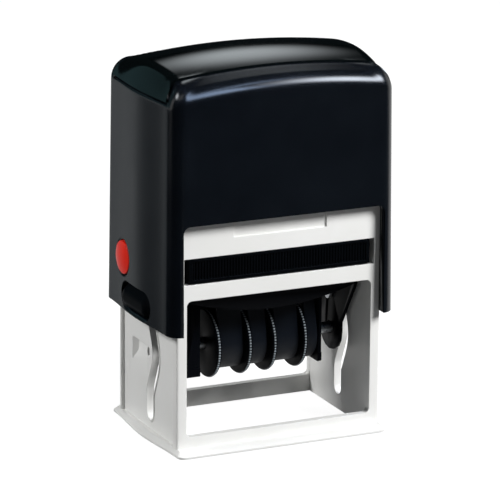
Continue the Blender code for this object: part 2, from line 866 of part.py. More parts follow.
def make_text_plate(parent, plate_look, rubber_look):
    columns = band_columns()
    window_low = columns[0][0] - clearance * 2
    window_high = columns[3][1] + clearance * 2
    outline = round_rectangle(text_plate_half_width, plate_half_depth - clearance, text_plate_corner, steps=2)
    plate = swept(outline, "z", text_plate_bottom, text_plate_top)
    hole = box(
        window_low, window_high, -band_window_half_depth, band_window_half_depth,
        text_plate_bottom - overrun, die_top + overrun,
    )
    piece("text_plate", cut(plate, hole), plate_look, (0, 0, pivot_z), parent)
    base = box(
        -text_plate_half_width, text_plate_half_width, -rubber_half_depth, rubber_half_depth,
        rubber_bottom, die_top,
    )
    # A raised border round the edge and round the date, with lower ground between them
    ground = box(
        -text_plate_half_width + rubber_border, text_plate_half_width - rubber_border,
        -rubber_half_depth + rubber_border, rubber_half_depth - rubber_border,
        die_top - relief_depth, die_top + overrun,
    )
    keep = box(
        window_low - rubber_border, window_high + rubber_border,
        -band_window_half_depth - rubber_border, band_window_half_depth + rubber_border,
        die_top - relief_depth - overrun, die_top + 2 * overrun,
    )
    hole_again = box(
        window_low, window_high, -band_window_half_depth, band_window_half_depth,
        rubber_bottom - overrun, die_top + overrun,
    )
    piece("text_rubber", cut(base, cut(ground, keep), hole_again), rubber_look, (0, 0, pivot_z), parent)


def make_band_frame(parent, look):
    columns = band_columns()
    nose_low = columns[0][0]
    nose_high = columns[3][1]
    steps = nose_steps
    nose = [
        (nose_radius * math.cos(math.pi * i / steps), nose_z + nose_radius * math.sin(math.pi * i / steps))
        for i in range(steps + 1)
    ]
    web_bottom = wheel_z + wheel_radius + clearance * 2
    core = swept(nose + [(-nose_radius, web_bottom), (nose_radius, web_bottom)], "x", nose_low, nose_high)
    side_top = unit_deck_bottom - clearance
    left_inner = -unit_left + unit_left_block
    left = swept(side_block_outline(side_top), "x", -unit_left, left_inner)
    right_low = nose_high + clearance
    right = swept(side_block_outline(side_top), "x", right_low, right_low + unit_right_plate)
    # One web runs from side block to side block and carries the core
    web = box(
        left_inner - overlap, right_low + overlap, -nose_radius, nose_radius, web_bottom, side_top
    )
    bore_outline = shifted(circle(shaft_radius + clearance, steps=16), 0, wheel_z)
    bore = swept(bore_outline, "x", -unit_half_width, unit_half_width)
    body = joined(core, web, left, right)
    piece("band_frame", cut(body, bore), look, (0, 0, pivot_z), parent)


def side_block_outline(top):
    """Side view of a side block: straight front and rear, stepped out at its foot."""
    narrow = side_block_half_depth - clearance
    foot_top = side_block_bottom + block_foot_height
    half = [
        (narrow - block_foot_height, top),
        (narrow, top - block_foot_height),
        (narrow, foot_top),
        (side_block_half_depth, foot_top),
        (side_block_half_depth, side_block_bottom + clearance),
        (side_block_half_depth - clearance, side_block_bottom),
    ]
    return half + [(-y, z) for y, z in reversed(half)]


def toothed_outline():
    points = []
    for i in range(wheel_teeth):
        for share, depth in tooth_shares:
            angle = math.tau * (i + share) / wheel_teeth
            radius = wheel_radius - wheel_tooth * depth
            points.append((radius * math.cos(angle), radius * math.sin(angle)))
    return points


def make_wheel(name, right, x, parent, look):
    disc = swept(shifted(toothed_outline(), 0, wheel_z), "x", x - wheel_disc / 2, x + wheel_disc / 2)
    hub = swept(shifted(circle(hub_radius, steps=28), 0, wheel_z), "x", x, right)
    bore_outline = shifted(circle(shaft_radius + clearance, steps=16), 0, wheel_z)
    bore = swept(bore_outline, "x", x - overrun, right + overrun)
    return piece(name, cut(joined(disc, hub), bore), look, (x, 0, wheel_z), parent)


def band_outline(grow):
    """Loop round the wheel's hub and the nose, both with a gap, as a taut band lies."""
    lower = hub_radius + clearance + grow
    upper = nose_radius + clearance + grow
    lean = math.asin((lower - upper) / (nose_z - wheel_z))
    lower_steps, upper_steps = hub_steps, nose_steps
    points = []
    for i in range(upper_steps + 1):
        angle = lean + (math.pi - 2 * lean) * i / upper_steps
        points.append((upper * math.cos(angle), nose_z + upper * math.sin(angle)))
    for i in range(lower_steps + 1):
        angle = math.pi - lean + (math.pi + 2 * lean) * i / lower_steps
        points.append((lower * math.cos(angle), wheel_z + lower * math.sin(angle)))
    return points


def make_band(name, left, right, parent, look):
    outer = swept(band_outline(band_thickness), "x", left, right)
    inner = swept(band_outline(0.0), "x", left - overrun, right + overrun)
    return piece(name, cut(outer, inner), look, (0, 0, wheel_z), parent)


def make_tray(parent, look, pad_look):
    front = -frame_half_depth
    body = box(-tray_half_width, tray_half_width, front + clearance, tray_rear_reach, tray_bottom, tray_top)
    plate = box(
        -tray_front_half_width, tray_front_half_width, front, front + tray_front_thickness,
        tray_bottom, tray_top,
    )
    hollow = box(
        -tray_half_width + tray_wall, tray_half_width - tray_wall, -pad_half_depth - clearance,
        pad_half_depth + clearance, tray_bottom - overrun, tray_top - tray_roof,
    )
    cuts = [hollow]
    count = int(2 * (tray_front_half_width - tray_rib_margin) / tray_rib_pitch)
    start = -count * tray_rib_pitch / 2
    for i in range(count):
        low = start + i * tray_rib_pitch + tray_rib_pitch / 4
        cuts.append(box(
            low, low + tray_rib_pitch / 2, front - overrun, front + tray_rib_depth,
            tray_bottom + tray_rib_margin, tray_top - tray_rib_margin / 2,
        ))
    groove = cuts[1]
    for more in cuts[2:]:
        groove = appended(groove, more)
    piece("pad_tray", cut(joined(body, plate), hollow, groove), look, (0, front, tray_bottom), parent)
    pad = box(
        -tray_half_width + tray_wall + clearance, tray_half_width - tray_wall - clearance,
        -pad_half_depth, pad_half_depth, tray_bottom, tray_bottom + pad_height,
    )
    piece("ink_pad", pad, pad_look, (0, 0, tray_bottom), parent)


def appended(first, second):
    """Two meshes in one, for cutters that don't meet."""
    data = bpy.data.meshes.new("more")
    second.to_mesh(data)
    second.free()
    first.from_mesh(data)
    bpy.data.meshes.remove(data)
    return first


def make_springs(look):
    low = deck_top + clearance + spring_wire
    high = cover_ceiling - clearance - spring_wire
    for side, name in ((-1, "left"), (1, "right")):
        curve = bpy.data.curves.new("return_spring_" + name, "CURVE")
        curve.dimensions = "3D"
        curve.bevel_depth = spring_wire
        curve.bevel_resolution = 1
        curve.use_fill_caps = True
        path = curve.splines.new("POLY")
        count = spring_turns * spring_points_per_turn + 1
        path.points.add(count - 1)
        for i in range(count):
            angle = math.tau * i / spring_points_per_turn
            height = (high - low) * i / (count - 1)
            x = spring_radius * math.cos(angle)
            y = spring_radius * math.sin(angle)
            path.points[i].co = (x, y, height, 1.0)
        curve.materials.append(look)
        made = bpy.data.objects.new("return_spring_" + name, curve)
        bpy.context.scene.collection.objects.link(made)
        made.location = (side * spring_x, -spring_y, low)


def make_shaft(parent, look):
    profile = [
        (0.0, -unit_half_width),
        (shaft_radius, -unit_half_width),
        (shaft_radius, unit_half_width),
        (0.0, unit_half_width),
    ]
    mesh = turned(profile, (0, 0, wheel_z), steps=16)
    piece("wheel_shaft", mesh, look, (0, 0, wheel_z), parent)


def main():
    for old in list(bpy.data.objects):
        bpy.data.objects.remove(old)
    white = material("white ABS", (0.78, 0.78, 0.76), 0.45)
    black = material("black ABS", (0.012, 0.014, 0.017), 0.3)
    cap_black = material("glossy black acrylic", (0.01, 0.014, 0.016), 0.08)
    red = material("red ABS", (0.62, 0.02, 0.02), 0.35)
    dark = material("dark nylon", (0.02, 0.022, 0.026), 0.5)
    rubber = material("text rubber", (0.05, 0.05, 0.055), 0.8)
    felt = material("ink pad felt", (0.02, 0.02, 0.03), 0.95)
    steel = material("plated steel", (0.6, 0.6, 0.6), 0.3, 1.0)

    press = station("press_guide", (0, 0, cover_bottom))
    turn = station("turn_pivot", (0, 0, pivot_z), press)
    tray = station("tray_slide", (0, -frame_half_depth, tray_bottom))
    button_left = station("button_slide_left", (-half_width, button_y, button_z), press)
    button_right = station("button_slide_right", (half_width, button_y, button_z), press)

    make_frame(white)
    make_cover(press, black)
    make_top_cap(press, cap_black)
    make_buttons((button_left, button_right), red)
    make_shoes(press, black)
    make_yoke(press, black)
    make_screws(press, steel)
    make_pins(turn, steel)
    make_unit_body(turn, dark)
    make_text_plate(turn, dark, rubber)
    make_band_frame(turn, dark)
    make_shaft(turn, steel)
    for number, (left, right, x) in enumerate(band_columns(), 1):
        make_wheel(f"setting_wheel_{number}", right, x, turn, dark)
        make_band(f"type_band_{number}", left, right, turn, rubber)
    make_tray(tray, black, felt)
    make_springs(steel)


main()
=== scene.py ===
import json
import math

import bmesh
import bpy
from mathutils import Matrix, Vector


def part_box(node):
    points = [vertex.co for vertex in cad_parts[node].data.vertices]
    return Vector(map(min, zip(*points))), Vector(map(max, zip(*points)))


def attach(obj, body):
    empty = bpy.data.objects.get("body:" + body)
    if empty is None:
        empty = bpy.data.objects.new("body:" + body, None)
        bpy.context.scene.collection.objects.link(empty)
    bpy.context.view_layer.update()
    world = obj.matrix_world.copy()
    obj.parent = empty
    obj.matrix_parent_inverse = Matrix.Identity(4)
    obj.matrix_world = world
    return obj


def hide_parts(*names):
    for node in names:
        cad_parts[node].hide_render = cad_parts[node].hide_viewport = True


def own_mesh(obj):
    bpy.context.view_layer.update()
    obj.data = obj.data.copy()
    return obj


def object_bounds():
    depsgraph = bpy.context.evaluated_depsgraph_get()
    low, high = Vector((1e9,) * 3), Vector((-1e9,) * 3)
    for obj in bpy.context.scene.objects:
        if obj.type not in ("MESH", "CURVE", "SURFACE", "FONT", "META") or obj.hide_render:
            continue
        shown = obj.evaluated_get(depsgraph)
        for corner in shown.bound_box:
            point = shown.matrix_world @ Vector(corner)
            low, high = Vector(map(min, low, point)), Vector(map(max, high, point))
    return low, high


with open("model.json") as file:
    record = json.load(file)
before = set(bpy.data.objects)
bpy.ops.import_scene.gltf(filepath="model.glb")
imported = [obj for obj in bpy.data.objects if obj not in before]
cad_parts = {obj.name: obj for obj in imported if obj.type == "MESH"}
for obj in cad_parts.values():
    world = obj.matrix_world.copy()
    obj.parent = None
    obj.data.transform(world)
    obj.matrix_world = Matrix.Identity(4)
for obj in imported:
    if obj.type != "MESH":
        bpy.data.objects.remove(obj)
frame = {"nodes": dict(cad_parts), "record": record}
cadLow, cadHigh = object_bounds()
mm = 0.001
scene = bpy.context.scene
nodes = frame["nodes"]
print("stage: frame loaded,", len(nodes), "nodes")


# Colours and materials
def toLinear(hexCode):
    # sRGB hex to a linear colour
    values = []
    for i in (0, 2, 4):
        part = int(hexCode[i:i + 2], 16) / 255
        values.append(part / 12.92 if part <= 0.04045 else ((part + 0.055) / 1.055) ** 2.4)
    return (*values, 1.0)


def addNode(tree, kind, settings=None, links=None):
    # A node with its settings and links; a list links several sources to one input
    node = tree.nodes.new(kind)
    for name, value in (settings or {}).items():
        if isinstance(name, int) or name in node.inputs:
            node.inputs[name].default_value = value
        else:
            setattr(node, name, value)
    for name, source in (links or {}).items():
        for output in source if isinstance(source, list) else [source]:
            tree.links.new(output, node.inputs[name])
    return node


def emptyMaterial(name):
    # A new material whose tree holds nothing yet
    made = bpy.data.materials.new(name)
    made.use_nodes = True
    made.node_tree.nodes.clear()
    return made


def newFinish(name, values):
    # A material with its shader, and the same-all-over values on the shader's own sockets
    made = emptyMaterial(name)
    tree = made.node_tree
    shader = addNode(tree, "ShaderNodeBsdfPrincipled", values)
    addNode(tree, "ShaderNodeOutputMaterial", links={"Surface": shader.outputs["BSDF"]})
    made.diffuse_color = values["Base Color"]
    return made, tree, shader


def mouldedPlastic(name, look):
    # Injection-moulded plastic: slow colour drift, fine spark-eroded grain, worn gloss,
    # and edges rounded by the mould
    made, tree, shader = newFinish(name, {
        "Base Color": toLinear(look["colour"]),
        "Roughness": look["roughness"],
        "IOR": look["ior"],
        "Specular IOR Level": look["specular"],
    })
    place = addNode(tree, "ShaderNodeTexCoord").outputs["Object"]
    drift = addNode(tree, "ShaderNodeTexNoise", {
        "Scale": 1 / (look["driftMm"] * mm),
        "Detail": 3.0,
        "Roughness": 0.6,
    }, {"Vector": place})
    tint = addNode(tree, "ShaderNodeValToRGB", links={"Fac": drift.outputs["Fac"]})
    tint.color_ramp.elements[0].position = 0.3
    tint.color_ramp.elements[0].color = toLinear(look["shade"])
    tint.color_ramp.elements[1].position = 0.7
    tint.color_ramp.elements[1].color = toLinear(look["colour"])
    tree.links.new(tint.outputs["Color"], shader.inputs["Base Color"])
    gloss = addNode(tree, "ShaderNodeMapRange", {
        "From Min": 0.35,
        "From Max": 0.65,
        "To Min": look["roughness"] - look["glossChange"],
        "To Max": look["roughness"] + look["glossChange"],
    }, {"Value": drift.outputs["Fac"]})
    tree.links.new(gloss.outputs["Result"], shader.inputs["Roughness"])
    grain = addNode(tree, "ShaderNodeTexNoise", {
        "Scale": 1 / (look["grainMm"] * mm),
        "Detail": 2.0,
        "Roughness": 0.5,
    }, {"Vector": place})
    rounded = addNode(tree, "ShaderNodeBevel", {"samples": 6, "Radius": look["edgeMm"] * mm})
    bump = addNode(tree, "ShaderNodeBump", {
        "Strength": look["grainStrength"],
        "Distance": look["grainDepthMm"] * mm,
    }, {"Height": grain.outputs["Fac"], "Normal": rounded.outputs["Normal"]})
    tree.links.new(bump.outputs["Normal"], shader.inputs["Normal"])
    return made


# White ABS, moulded in a lightly textured tool: a bright satin white with soft, wide highlights
whiteAbs = mouldedPlastic("white_ABS_satin_moulded", {
    "colour": "EEEEEC",
    "shade": "E9E9E6",
    "roughness": 0.42,
    "ior": 1.5,
    "specular": 0.5,
    "driftMm": 18.0,
    "glossChange": 0.04,
    "grainMm": 0.35,
    "grainStrength": 0.15,
    "grainDepthMm": 0.02,
    "edgeMm": 0.25,
})
# Black ABS, moulded semi-gloss: near black with a blue cast and soft-edged reflections
blackAbs = mouldedPlastic("black_ABS_semigloss_moulded", {
    "colour": "0A0E13",
    "shade": "080B10",
    "roughness": 0.23,
    "ior": 1.5,
    "specular": 0.42,
    "driftMm": 22.0,
    "glossChange": 0.03,
    "grainMm": 0.4,
    "grainStrength": 0.12,
    "grainDepthMm": 0.02,
    "edgeMm": 0.15,
})
# Black ABS, moulded in a blasted tool: a dull black for the tray, the shoes and the yoke
mattAbs = mouldedPlastic("black_ABS_matt_moulded", {
    "colour": "06080B",
    "shade": "050608",
    "roughness": 0.42,
    "ior": 1.5,
    "specular": 0.02,
    "driftMm": 12.0,
    "glossChange": 0.04,
    "grainMm": 0.3,
    "grainStrength": 0.2,
    "grainDepthMm": 0.02,
    "edgeMm": 0.12,
})
# Polished black styrene panel: deep teal-black with sharp, mirror-like reflections
polishedStyrene = mouldedPlastic("black_styrene_polished", {
    "colour": "05090A",
    "shade": "040708",
    "roughness": 0.09,
    "ior": 1.55,
    "specular": 0.5,
    "driftMm": 30.0,
    "glossChange": 0.02,
    "grainMm": 6.0,
    "grainStrength": 0.05,
    "grainDepthMm": 0.05,
    "edgeMm": 0.1,
})
# Red ABS, moulded: a clean signal red with a soft highlight
redAbs = mouldedPlastic("red_ABS_moulded", {
    "colour": "E62A18",
    "shade": "DA2516",
    "roughness": 0.33,
    "ior": 1.5,
    "specular": 0.3,
    "driftMm": 6.0,
    "glossChange": 0.03,
    "grainMm": 0.35,
    "grainStrength": 0.1,
    "grainDepthMm": 0.02,
    "edgeMm": 0.15,
})
# Black nylon, moulded: satin black that catches light only at its edges
darkNylon = mouldedPlastic("black_nylon_satin_moulded", {
    "colour": "07090D",
    "shade": "050609",
    "roughness": 0.4,
    "ior": 1.53,
    "specular": 0.02,
    "driftMm": 8.0,
    "glossChange": 0.05,
    "grainMm": 0.3,
    "grainStrength": 0.2,
    "grainDepthMm": 0.02,
    "edgeMm": 0.15,
})
# Black nylon knurling painted light grey: a painted highlight that stands for the glints on the ridge
# tips
glintPaintedNylon = mouldedPlastic("black_nylon_painted_highlight_grey", {
    "colour": "8A9298",
    "shade": "6C7478",
    "roughness": 0.3,
    "ior": 1.53,
    "specular": 0.5,
    "driftMm": 2.0,
    "glossChange": 0.08,
    "grainMm": 0.3,
    "grainStrength": 0.2,
    "grainDepthMm": 0.02,
    "edgeMm": 0.05,
})
# Natural rubber, moulded: a dusty blue-black without shine
typeRubber = mouldedPlastic("type_rubber_matt_moulded", {
    "colour": "0D1117",
    "shade": "0A0D12",
    "roughness": 0.6,
    "ior": 1.52,
    "specular": 0.2,
    "driftMm": 5.0,
    "glossChange": 0.06,
    "grainMm": 0.25,
    "grainStrength": 0.3,
    "grainDepthMm": 0.03,
    "edgeMm": 0.1,
})
# Ink-soaked felt: dark violet-black, dull and fibrous
padFelt = mouldedPlastic("pad_felt_inked", {
    "colour": "101018",
    "shade": "0A0A10",
    "roughness": 0.85,
    "ior": 1.4,
    "specular": 0.3,
    "driftMm": 3.0,
    "glossChange": 0.05,
    "grainMm": 0.4,
    "grainStrength": 0.8,
    "grainDepthMm": 0.1,
    "edgeMm": 0.1,
})
# Zinc-plated steel wire and pins: pale grey metal, a soft shine with faint drawing marks
steelLook = {
    "colour": "B4B8BB",
    "roughness": 0.32,
    "shiniest": 0.24,
    "dullest": 0.42,
    "patchMm": 0.8,
    "markMm": 0.15,
    "markStrength": 0.15,
    "markDepthMm": 0.01,
}
platedSteel, steelTree, steelShader = newFinish("zinc_plated_steel", {
    "Base Color": toLinear(steelLook["colour"]),
    "Metallic": 1.0,
    "Roughness": steelLook["roughness"],
})
steelPlace = addNode(steelTree, "ShaderNodeTexCoord").outputs["Object"]
steelPatches = addNode(steelTree, "ShaderNodeTexNoise", {
    "Scale": 1 / (steelLook["patchMm"] * mm),
    "Detail": 3.0,
}, {"Vector": steelPlace})
steelDulling = addNode(steelTree, "ShaderNodeMapRange", {
    "From Min": 0.3,
    "From Max": 0.7,
    "To Min": steelLook["shiniest"],
    "To Max": steelLook["dullest"],
}, {"Value": steelPatches.outputs["Fac"]})
steelTree.links.new(steelDulling.outputs["Result"], steelShader.inputs["Roughness"])
steelMarks = addNode(steelTree, "ShaderNodeTexNoise", {
    "Scale": 1 / (steelLook["markMm"] * mm),
    "Detail": 2.0,
}, {"Vector": steelPlace})
steelBump = addNode(steelTree, "ShaderNodeBump", {
    "Strength": steelLook["markStrength"],
    "Distance": steelLook["markDepthMm"] * mm,
}, {"Height": steelMarks.outputs["Fac"]})
steelTree.links.new(steelBump.outputs["Normal"], steelShader.inputs["Normal"])

# The CAD nodes that stay get these finishes through their slots
nodeFinishes = {
    "white_abs": whiteAbs,
    "black_abs": blackAbs,
    "glossy_cap": polishedStyrene,
    "red_abs": redAbs,
    "dark_nylon": darkNylon,
    "type_rubber": typeRubber,
    "pad_felt": padFelt,
    "plated_steel": platedSteel,
}
for part in frame["record"]["subparts"]:
    for slot in nodes[part["node"]].material_slots:
        slot.material = nodeFinishes[part["material_slot"]]
print("stage: finishes set")

# Shapes: all made in millimetres, and set down in metres
# How far the cutting tools reach past what they cut, in millimetres
past = 3
sidePast = 4
farPast = 6


def meshOf(name, points, faces):
    mesh = bpy.data.meshes.new(name)
    mesh.from_pydata([Vector(point) * mm for point in points], [], faces)
    shape = bmesh.new()
    shape.from_mesh(mesh)
    bmesh.ops.remove_doubles(shape, verts=shape.verts, dist=0.0002 * mm)
    bmesh.ops.recalc_face_normals(shape, faces=shape.faces)
    shape.to_mesh(mesh)
    shape.free()
    return mesh


def looped(name, rings):
    # A closed skin through rings of equally many points, capped at both ends
    count = len(rings[0])
    points = [point for ring in rings for point in ring]
    faces = []
    for level in range(len(rings) - 1):
        for i in range(count):
            j = (i + 1) % count
            low = level * count
            faces.append((low + i, low + j, low + count + j, low + count + i))
    faces.append(tuple(range(count)))
    faces.append(tuple(len(points) - count + i for i in range(count)))
    return meshOf(name, points, faces)


def pushed(name, outline, axis, low, high):
    # An outline of two coordinates, pushed along the third from low to high
    place = {
        "x": lambda a, b, h: (h, a, b),
        "y": lambda a, b, h: (a, h, b),
        "z": lambda a, b, h: (a, b, h),
    }[axis]
    return looped(name, [[place(a, b, h) for a, b in outline] for h in sorted((low, high))])


def block(name, xLow, xHigh, yLow, yHigh, zLow, zHigh):
    corners = [(xLow, yLow), (xHigh, yLow), (xHigh, yHigh), (xLow, yHigh)]
    return pushed(name, corners, "z", zLow, zHigh)


def turnedOnX(name, profile, centre, steps):
    # Radius and X pairs turned about a line along X through centre (y, z)
    rings = []
    for radius, x in profile:
        ring = []
        for i in range(steps):
            angle = math.tau * i / steps
            y = centre[0] + radius * math.cos(angle)
            z = centre[1] + radius * math.sin(angle)
            ring.append((x, y, z))
        rings.append(ring)
    return looped(name, rings)


def roundedOutline(halfA, halfB, radius, cornerSteps=10, bow=0.0, sideSteps=1, frontSteps=1):
    # A rectangle with round corners, its sides at +a and -a pushed out in the middle by bow
    points = []
    flatA = halfA - radius
    flatB = halfB - radius
    for corner, (signA, signB) in enumerate(((1, 1), (-1, 1), (-1, -1), (1, -1))):
        start = corner * math.pi / 2
        for i in range(cornerSteps + 1):
            angle = start + math.pi / 2 * i / cornerSteps
            a = signA * flatA + radius * math.cos(angle)
            b = signB * flatB + radius * math.sin(angle)
            points.append((a, b))
        along = sideSteps if corner in (1, 3) else frontSteps
        for i in range(1, along):
            t = 2 * i / along - 1
            swell = bow * (1 + math.cos(math.pi * t)) / 2
            if corner == 0:
                points.append((-flatA * t, halfB))
            elif corner == 1:
                points.append((-halfA - swell, -flatB * t))
            elif corner == 2:
                points.append((flatA * t, -halfB))
            else:
                points.append((halfA + swell, flatB * t))
    return points


def moved(outline, a, b):
    return [(x + a, y + b) for x, y in outline]


def circleOutline(radius, steps):
    angles = [math.tau * i / steps for i in range(steps)]
    return [(radius * math.cos(angle), radius * math.sin(angle)) for angle in angles]


def asObject(name, mesh):
    made = bpy.data.objects.new(name, mesh)
    scene.collection.objects.link(made)
    return made


def settled(made):
    # The object's mesh with its modifiers worked in
    graph = bpy.context.evaluated_depsgraph_get()
    mesh = bpy.data.meshes.new_from_object(made.evaluated_get(graph))
    made.modifiers.clear()
    made.data = mesh
    return made


def carved(made, tools, operation="DIFFERENCE"):
    # Cuts the tools' meshes out of a piece, or joins or keeps them
    for tool in tools:
        other = asObject("tool", tool)
        change = made.modifiers.new("carve", "BOOLEAN")
        change.operation = operation
        change.solver = "EXACT"
        change.object = other
        settled(made)
        bpy.data.objects.remove(other)
    return made


def softened(made, width, angle=35, loose=False):
    # Small rounded edges, as a mould leaves them, and smooth shading between them
    # A loose piece is merged and triangulated, and its finish alone rounds its edges
    if loose:
        shape = bmesh.new()
        shape.from_mesh(made.data)
        bmesh.ops.dissolve_degenerate(shape, dist=0.002 * mm, edges=shape.edges)
        bmesh.ops.remove_doubles(shape, verts=shape.verts, dist=0.003 * mm)
        bmesh.ops.triangulate(shape, faces=shape.faces)
        shape.to_mesh(made.data)
        shape.free()
    made.data.shade_smooth()
    made.data.set_sharp_from_angle(angle=math.radians(angle))
    if width:
        edges = made.modifiers.new("edges", "BEVEL")
        edges.width = width * mm
        edges.segments = 2
        edges.limit_method = "ANGLE"
        edges.angle_limit = math.radians(angle)
        edges.miter_outer = "MITER_ARC"
        edges.harden_normals = True
        settled(made)
    return made


def shadedLike(made, skin, reach=0.02):
    # Takes the smooth normals of the uncut skin wherever the cut piece still lies on it
    source = asObject("skin", skin)
    source.data.shade_smooth()
    source.data.set_sharp_from_angle(angle=math.radians(50))
    change = made.modifiers.new("normals", "DATA_TRANSFER")
    change.object = source
    change.use_loop_data = True
    change.data_types_loops = {"CUSTOM_NORMAL"}
    change.loop_mapping = "POLYINTERP_NEAREST"
    change.use_max_distance = True
    change.max_distance = reach * mm
    settled(made)
    bpy.data.objects.remove(source)
    return made


def copyOf(node, name):
    # A merged copy of a CAD node's mesh
    mesh = nodes[node].data.copy()
    mesh.name = name
    shape = bmesh.new()
    shape.from_mesh(mesh)
    bmesh.ops.remove_doubles(shape, verts=shape.verts, dist=0.0005 * mm)
    shape.to_mesh(mesh)
    shape.free()
    mesh.materials.clear()
    return asObject(name, mesh)


def fitted(made, finish, body, slot, *replaced):
    # Gives a finished piece its finish and body, and hides the CAD nodes that it stands for
    made.data.materials.clear()
    made.data.materials.append(finish)
    for face in made.data.polygons:
        face.material_index = 0
    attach(made, body)
    if replaced:
        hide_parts(*replaced)
    return made


# Cover and cap share the casing's form
casing = {
    "halfWidth": 34.0,
    "halfDepth": 23.8,
    "bottom": 34.7,
    "ceiling": 98.0,
    "crest": 106.3,
    "corner": 4.1,
    "bow": 1.0,
    "draftShare": 0.0095,
    "archHalfWidth": 30.0,
    "archSag": 2.15,
    "shoulder": 5.8,
    "shoulderDrop": 6.4,
    "roll": 3.4,
    "rollDrop": 2.95,
    "rollLean": 0.28,
    "capHalfDepth": 15.2,
    "capFlareDepth": 18.6,
    "capFlareStart": 29.0,
    "capCrown": 2.13,
    "capFadeLength": 3.0,
    "capBottom": 99.5,
    "capThickness": 1.5,
    "capProud": 0.45,
    "capEdge": 0.4,
    "capSteps": 16,
    "seatGap": 0.3,
    "seamGap": 1.3,
    "rollStart": 0.82,
    "rollSpan": 0.18,
    "rollRings": 25,
    "topStart": 0.05,
    "topSpan": 0.73,
    "topRings": 17,
}


def casingRing(height, inset):
    # The outline at a height: it narrows upwards by the mould's draft
    shrink = casing["draftShare"] * (height - casing["bottom"])
    return roundedOutline(
        casing["halfWidth"] - shrink - inset,
        casing["halfDepth"] - shrink - inset,
        casing["corner"] - inset / 2,
        cornerSteps=12,
        bow=casing["bow"],
        sideSteps=24,
        frontSteps=36,
    )


def roofHeight(x, y, bend, sideFacing):
    # The arched top, less what it falls by in the roll round its edge
    # Bend is 0 where the roll starts and 1 where it meets the side
    arch = casing["archSag"] * (x / casing["archHalfWidth"]) ** 2
    lean = casing["rollLean"] * max(abs(y) - casing["capHalfDepth"], 0.0) * (1 - sideFacing)
    drop = casing["rollDrop"] + (casing["shoulderDrop"] - casing["rollDrop"]) * sideFacing
    return casing["crest"] - arch - lean - drop * (1 - math.sqrt(1 - bend * bend))


def crownHeight(x, y):
    # How far the cap's low crown stands above the arch
    across = max(1 - (y / casing["capHalfDepth"]) ** 2, 0.0)
    fade = casing["capFadeLength"]
    edge = min(max((abs(x) - casing["halfWidth"] + fade) / fade, 0.0), 1.0)
    return casing["capCrown"] * across * (1 - edge * edge)


# The rings lie close where the shoulders and rolls bend most
ringShares = []
for i in range(casing["rollRings"]):
    turned = math.sin(math.pi / 2 * i / (casing["rollRings"] - 1))
    ringShares.append(casing["rollStart"] + casing["rollSpan"] * turned)
for i in range(casing["topRings"]):
    ringShares.append(casing["topStart"] + casing["topSpan"] * i / (casing["topRings"] - 1))
ringShares.sort(reverse=True)


def casingSkin(name, inset, bottom, crowned=False):
    # A closed skin: the side walls, and rings that shrink towards the middle of the top
    outline = casingRing(casing["ceiling"], inset)
    normals = []
    for before, after in zip(outline[-1:] + outline[:-1], outline[1:] + outline[:1]):
        along = Vector((after[0] - before[0], after[1] - before[1])).normalized()
        normals.append((along.y, -along.x))
    rings = [[(x, y, bottom) for x, y in casingRing(bottom, inset)]]
    for share in ringShares:
        ring = []
        for (x, y), (outX, outY) in zip(outline, normals):
            rollWidth = math.hypot(casing["shoulder"] * outX, casing["roll"] * outY)
            bend = max(1 - abs(x * outX + y * outY) * (1 - share) / rollWidth, 0.0)
            height = roofHeight(x * share, y * share, bend, outX * outX) - inset
            if crowned:
                height += crownHeight(x * share, y * share)
            ring.append((x * share, y * share, height))
        rings.append(ring)
    return looped(name, rings)


def capPlan(name, grow):
    # The cap's plan, wider at the shoulders, as a tall block
    depth = casing["capHalfDepth"] + grow
    flare = casing["capFlareDepth"] + grow
    side = []
    for i in range(casing["capSteps"] + 1):
        share = i / casing["capSteps"]
        x = casing["capFlareStart"] + (casing["halfWidth"] - casing["capFlareStart"]) * share
        side.append((x, depth + (flare - depth) * (1 - math.cos(math.pi * share)) / 2))
    side.append((casing["halfWidth"] + sidePast, flare))
    outline = list(side)
    outline += [(x, -y) for x, y in reversed(side)]
    outline += [(-x, -y) for x, y in side]
    outline += [(-x, y) for x, y in reversed(side)]
    low = casing["capBottom"] - (casing["seamGap"] if grow else 0.0)
    return pushed(name, outline, "z", low, casing["crest"] + farPast)


capLow = casing["ceiling"] - past
coreLow = casing["ceiling"] - farPast
cap = asObject("glossyTopCap", casingSkin("cap", -casing["capProud"], capLow, crowned=True))
carved(cap, [casingSkin("core", casing["capThickness"], coreLow, crowned=True)])
carved(cap, [capPlan("plan", 0.0)], "INTERSECT")
softened(cap, casing["capEdge"], angle=30)
shadedLike(cap, casingSkin("capSkin", -casing["capProud"], capLow, crowned=True))
fitted(cap, polishedStyrene, "cover", "glossy_cap", "top_cap")

# Cover: hollow, with a front and a rear cut-out, a button hole and an oval hole in each side
coverCuts = {
    "wall": 1.8,
    "cutOutHalfWidth": 30.3,
    "cutOutTop": 65.6,
    "cutOutCorner": 2.0,
    "postDepth": 3.4,
    "buttonY": 9.3,
    "buttonZ": 49.4,
    "buttonHole": 5.05,
    "buttonRing": 5.5,
    "buttonSteps": 56,
    "ringDepth": 0.5,
    "ovalZ": 39.2,
    "ovalHalfLength": 10.2,
    "ovalHalfHeight": 4.3,
    "ovalSteps": 14,
    "edgeRounding": 0.25,
}


def hollow(name, top):
    # The space within the cover's walls, from below its lower edge
    rings = []
    for height in (casing["bottom"] - past, top):
        outline = casingRing(max(height, casing["bottom"]), coverCuts["wall"])
        rings.append([(x, y, height) for x, y in outline])
    return asObject(name, looped(name, rings))


cover = asObject("pressCover", casingSkin("cover", 0.0, casing["bottom"]))
seat = asObject("seat", capPlan("seat", casing["seatGap"]))
seatInset = casing["capThickness"] + casing["seatGap"]
carved(seat, [casingSkin("seatCore", seatInset, coreLow, crowned=True)])
cavity = hollow("cavity", casing["ceiling"])
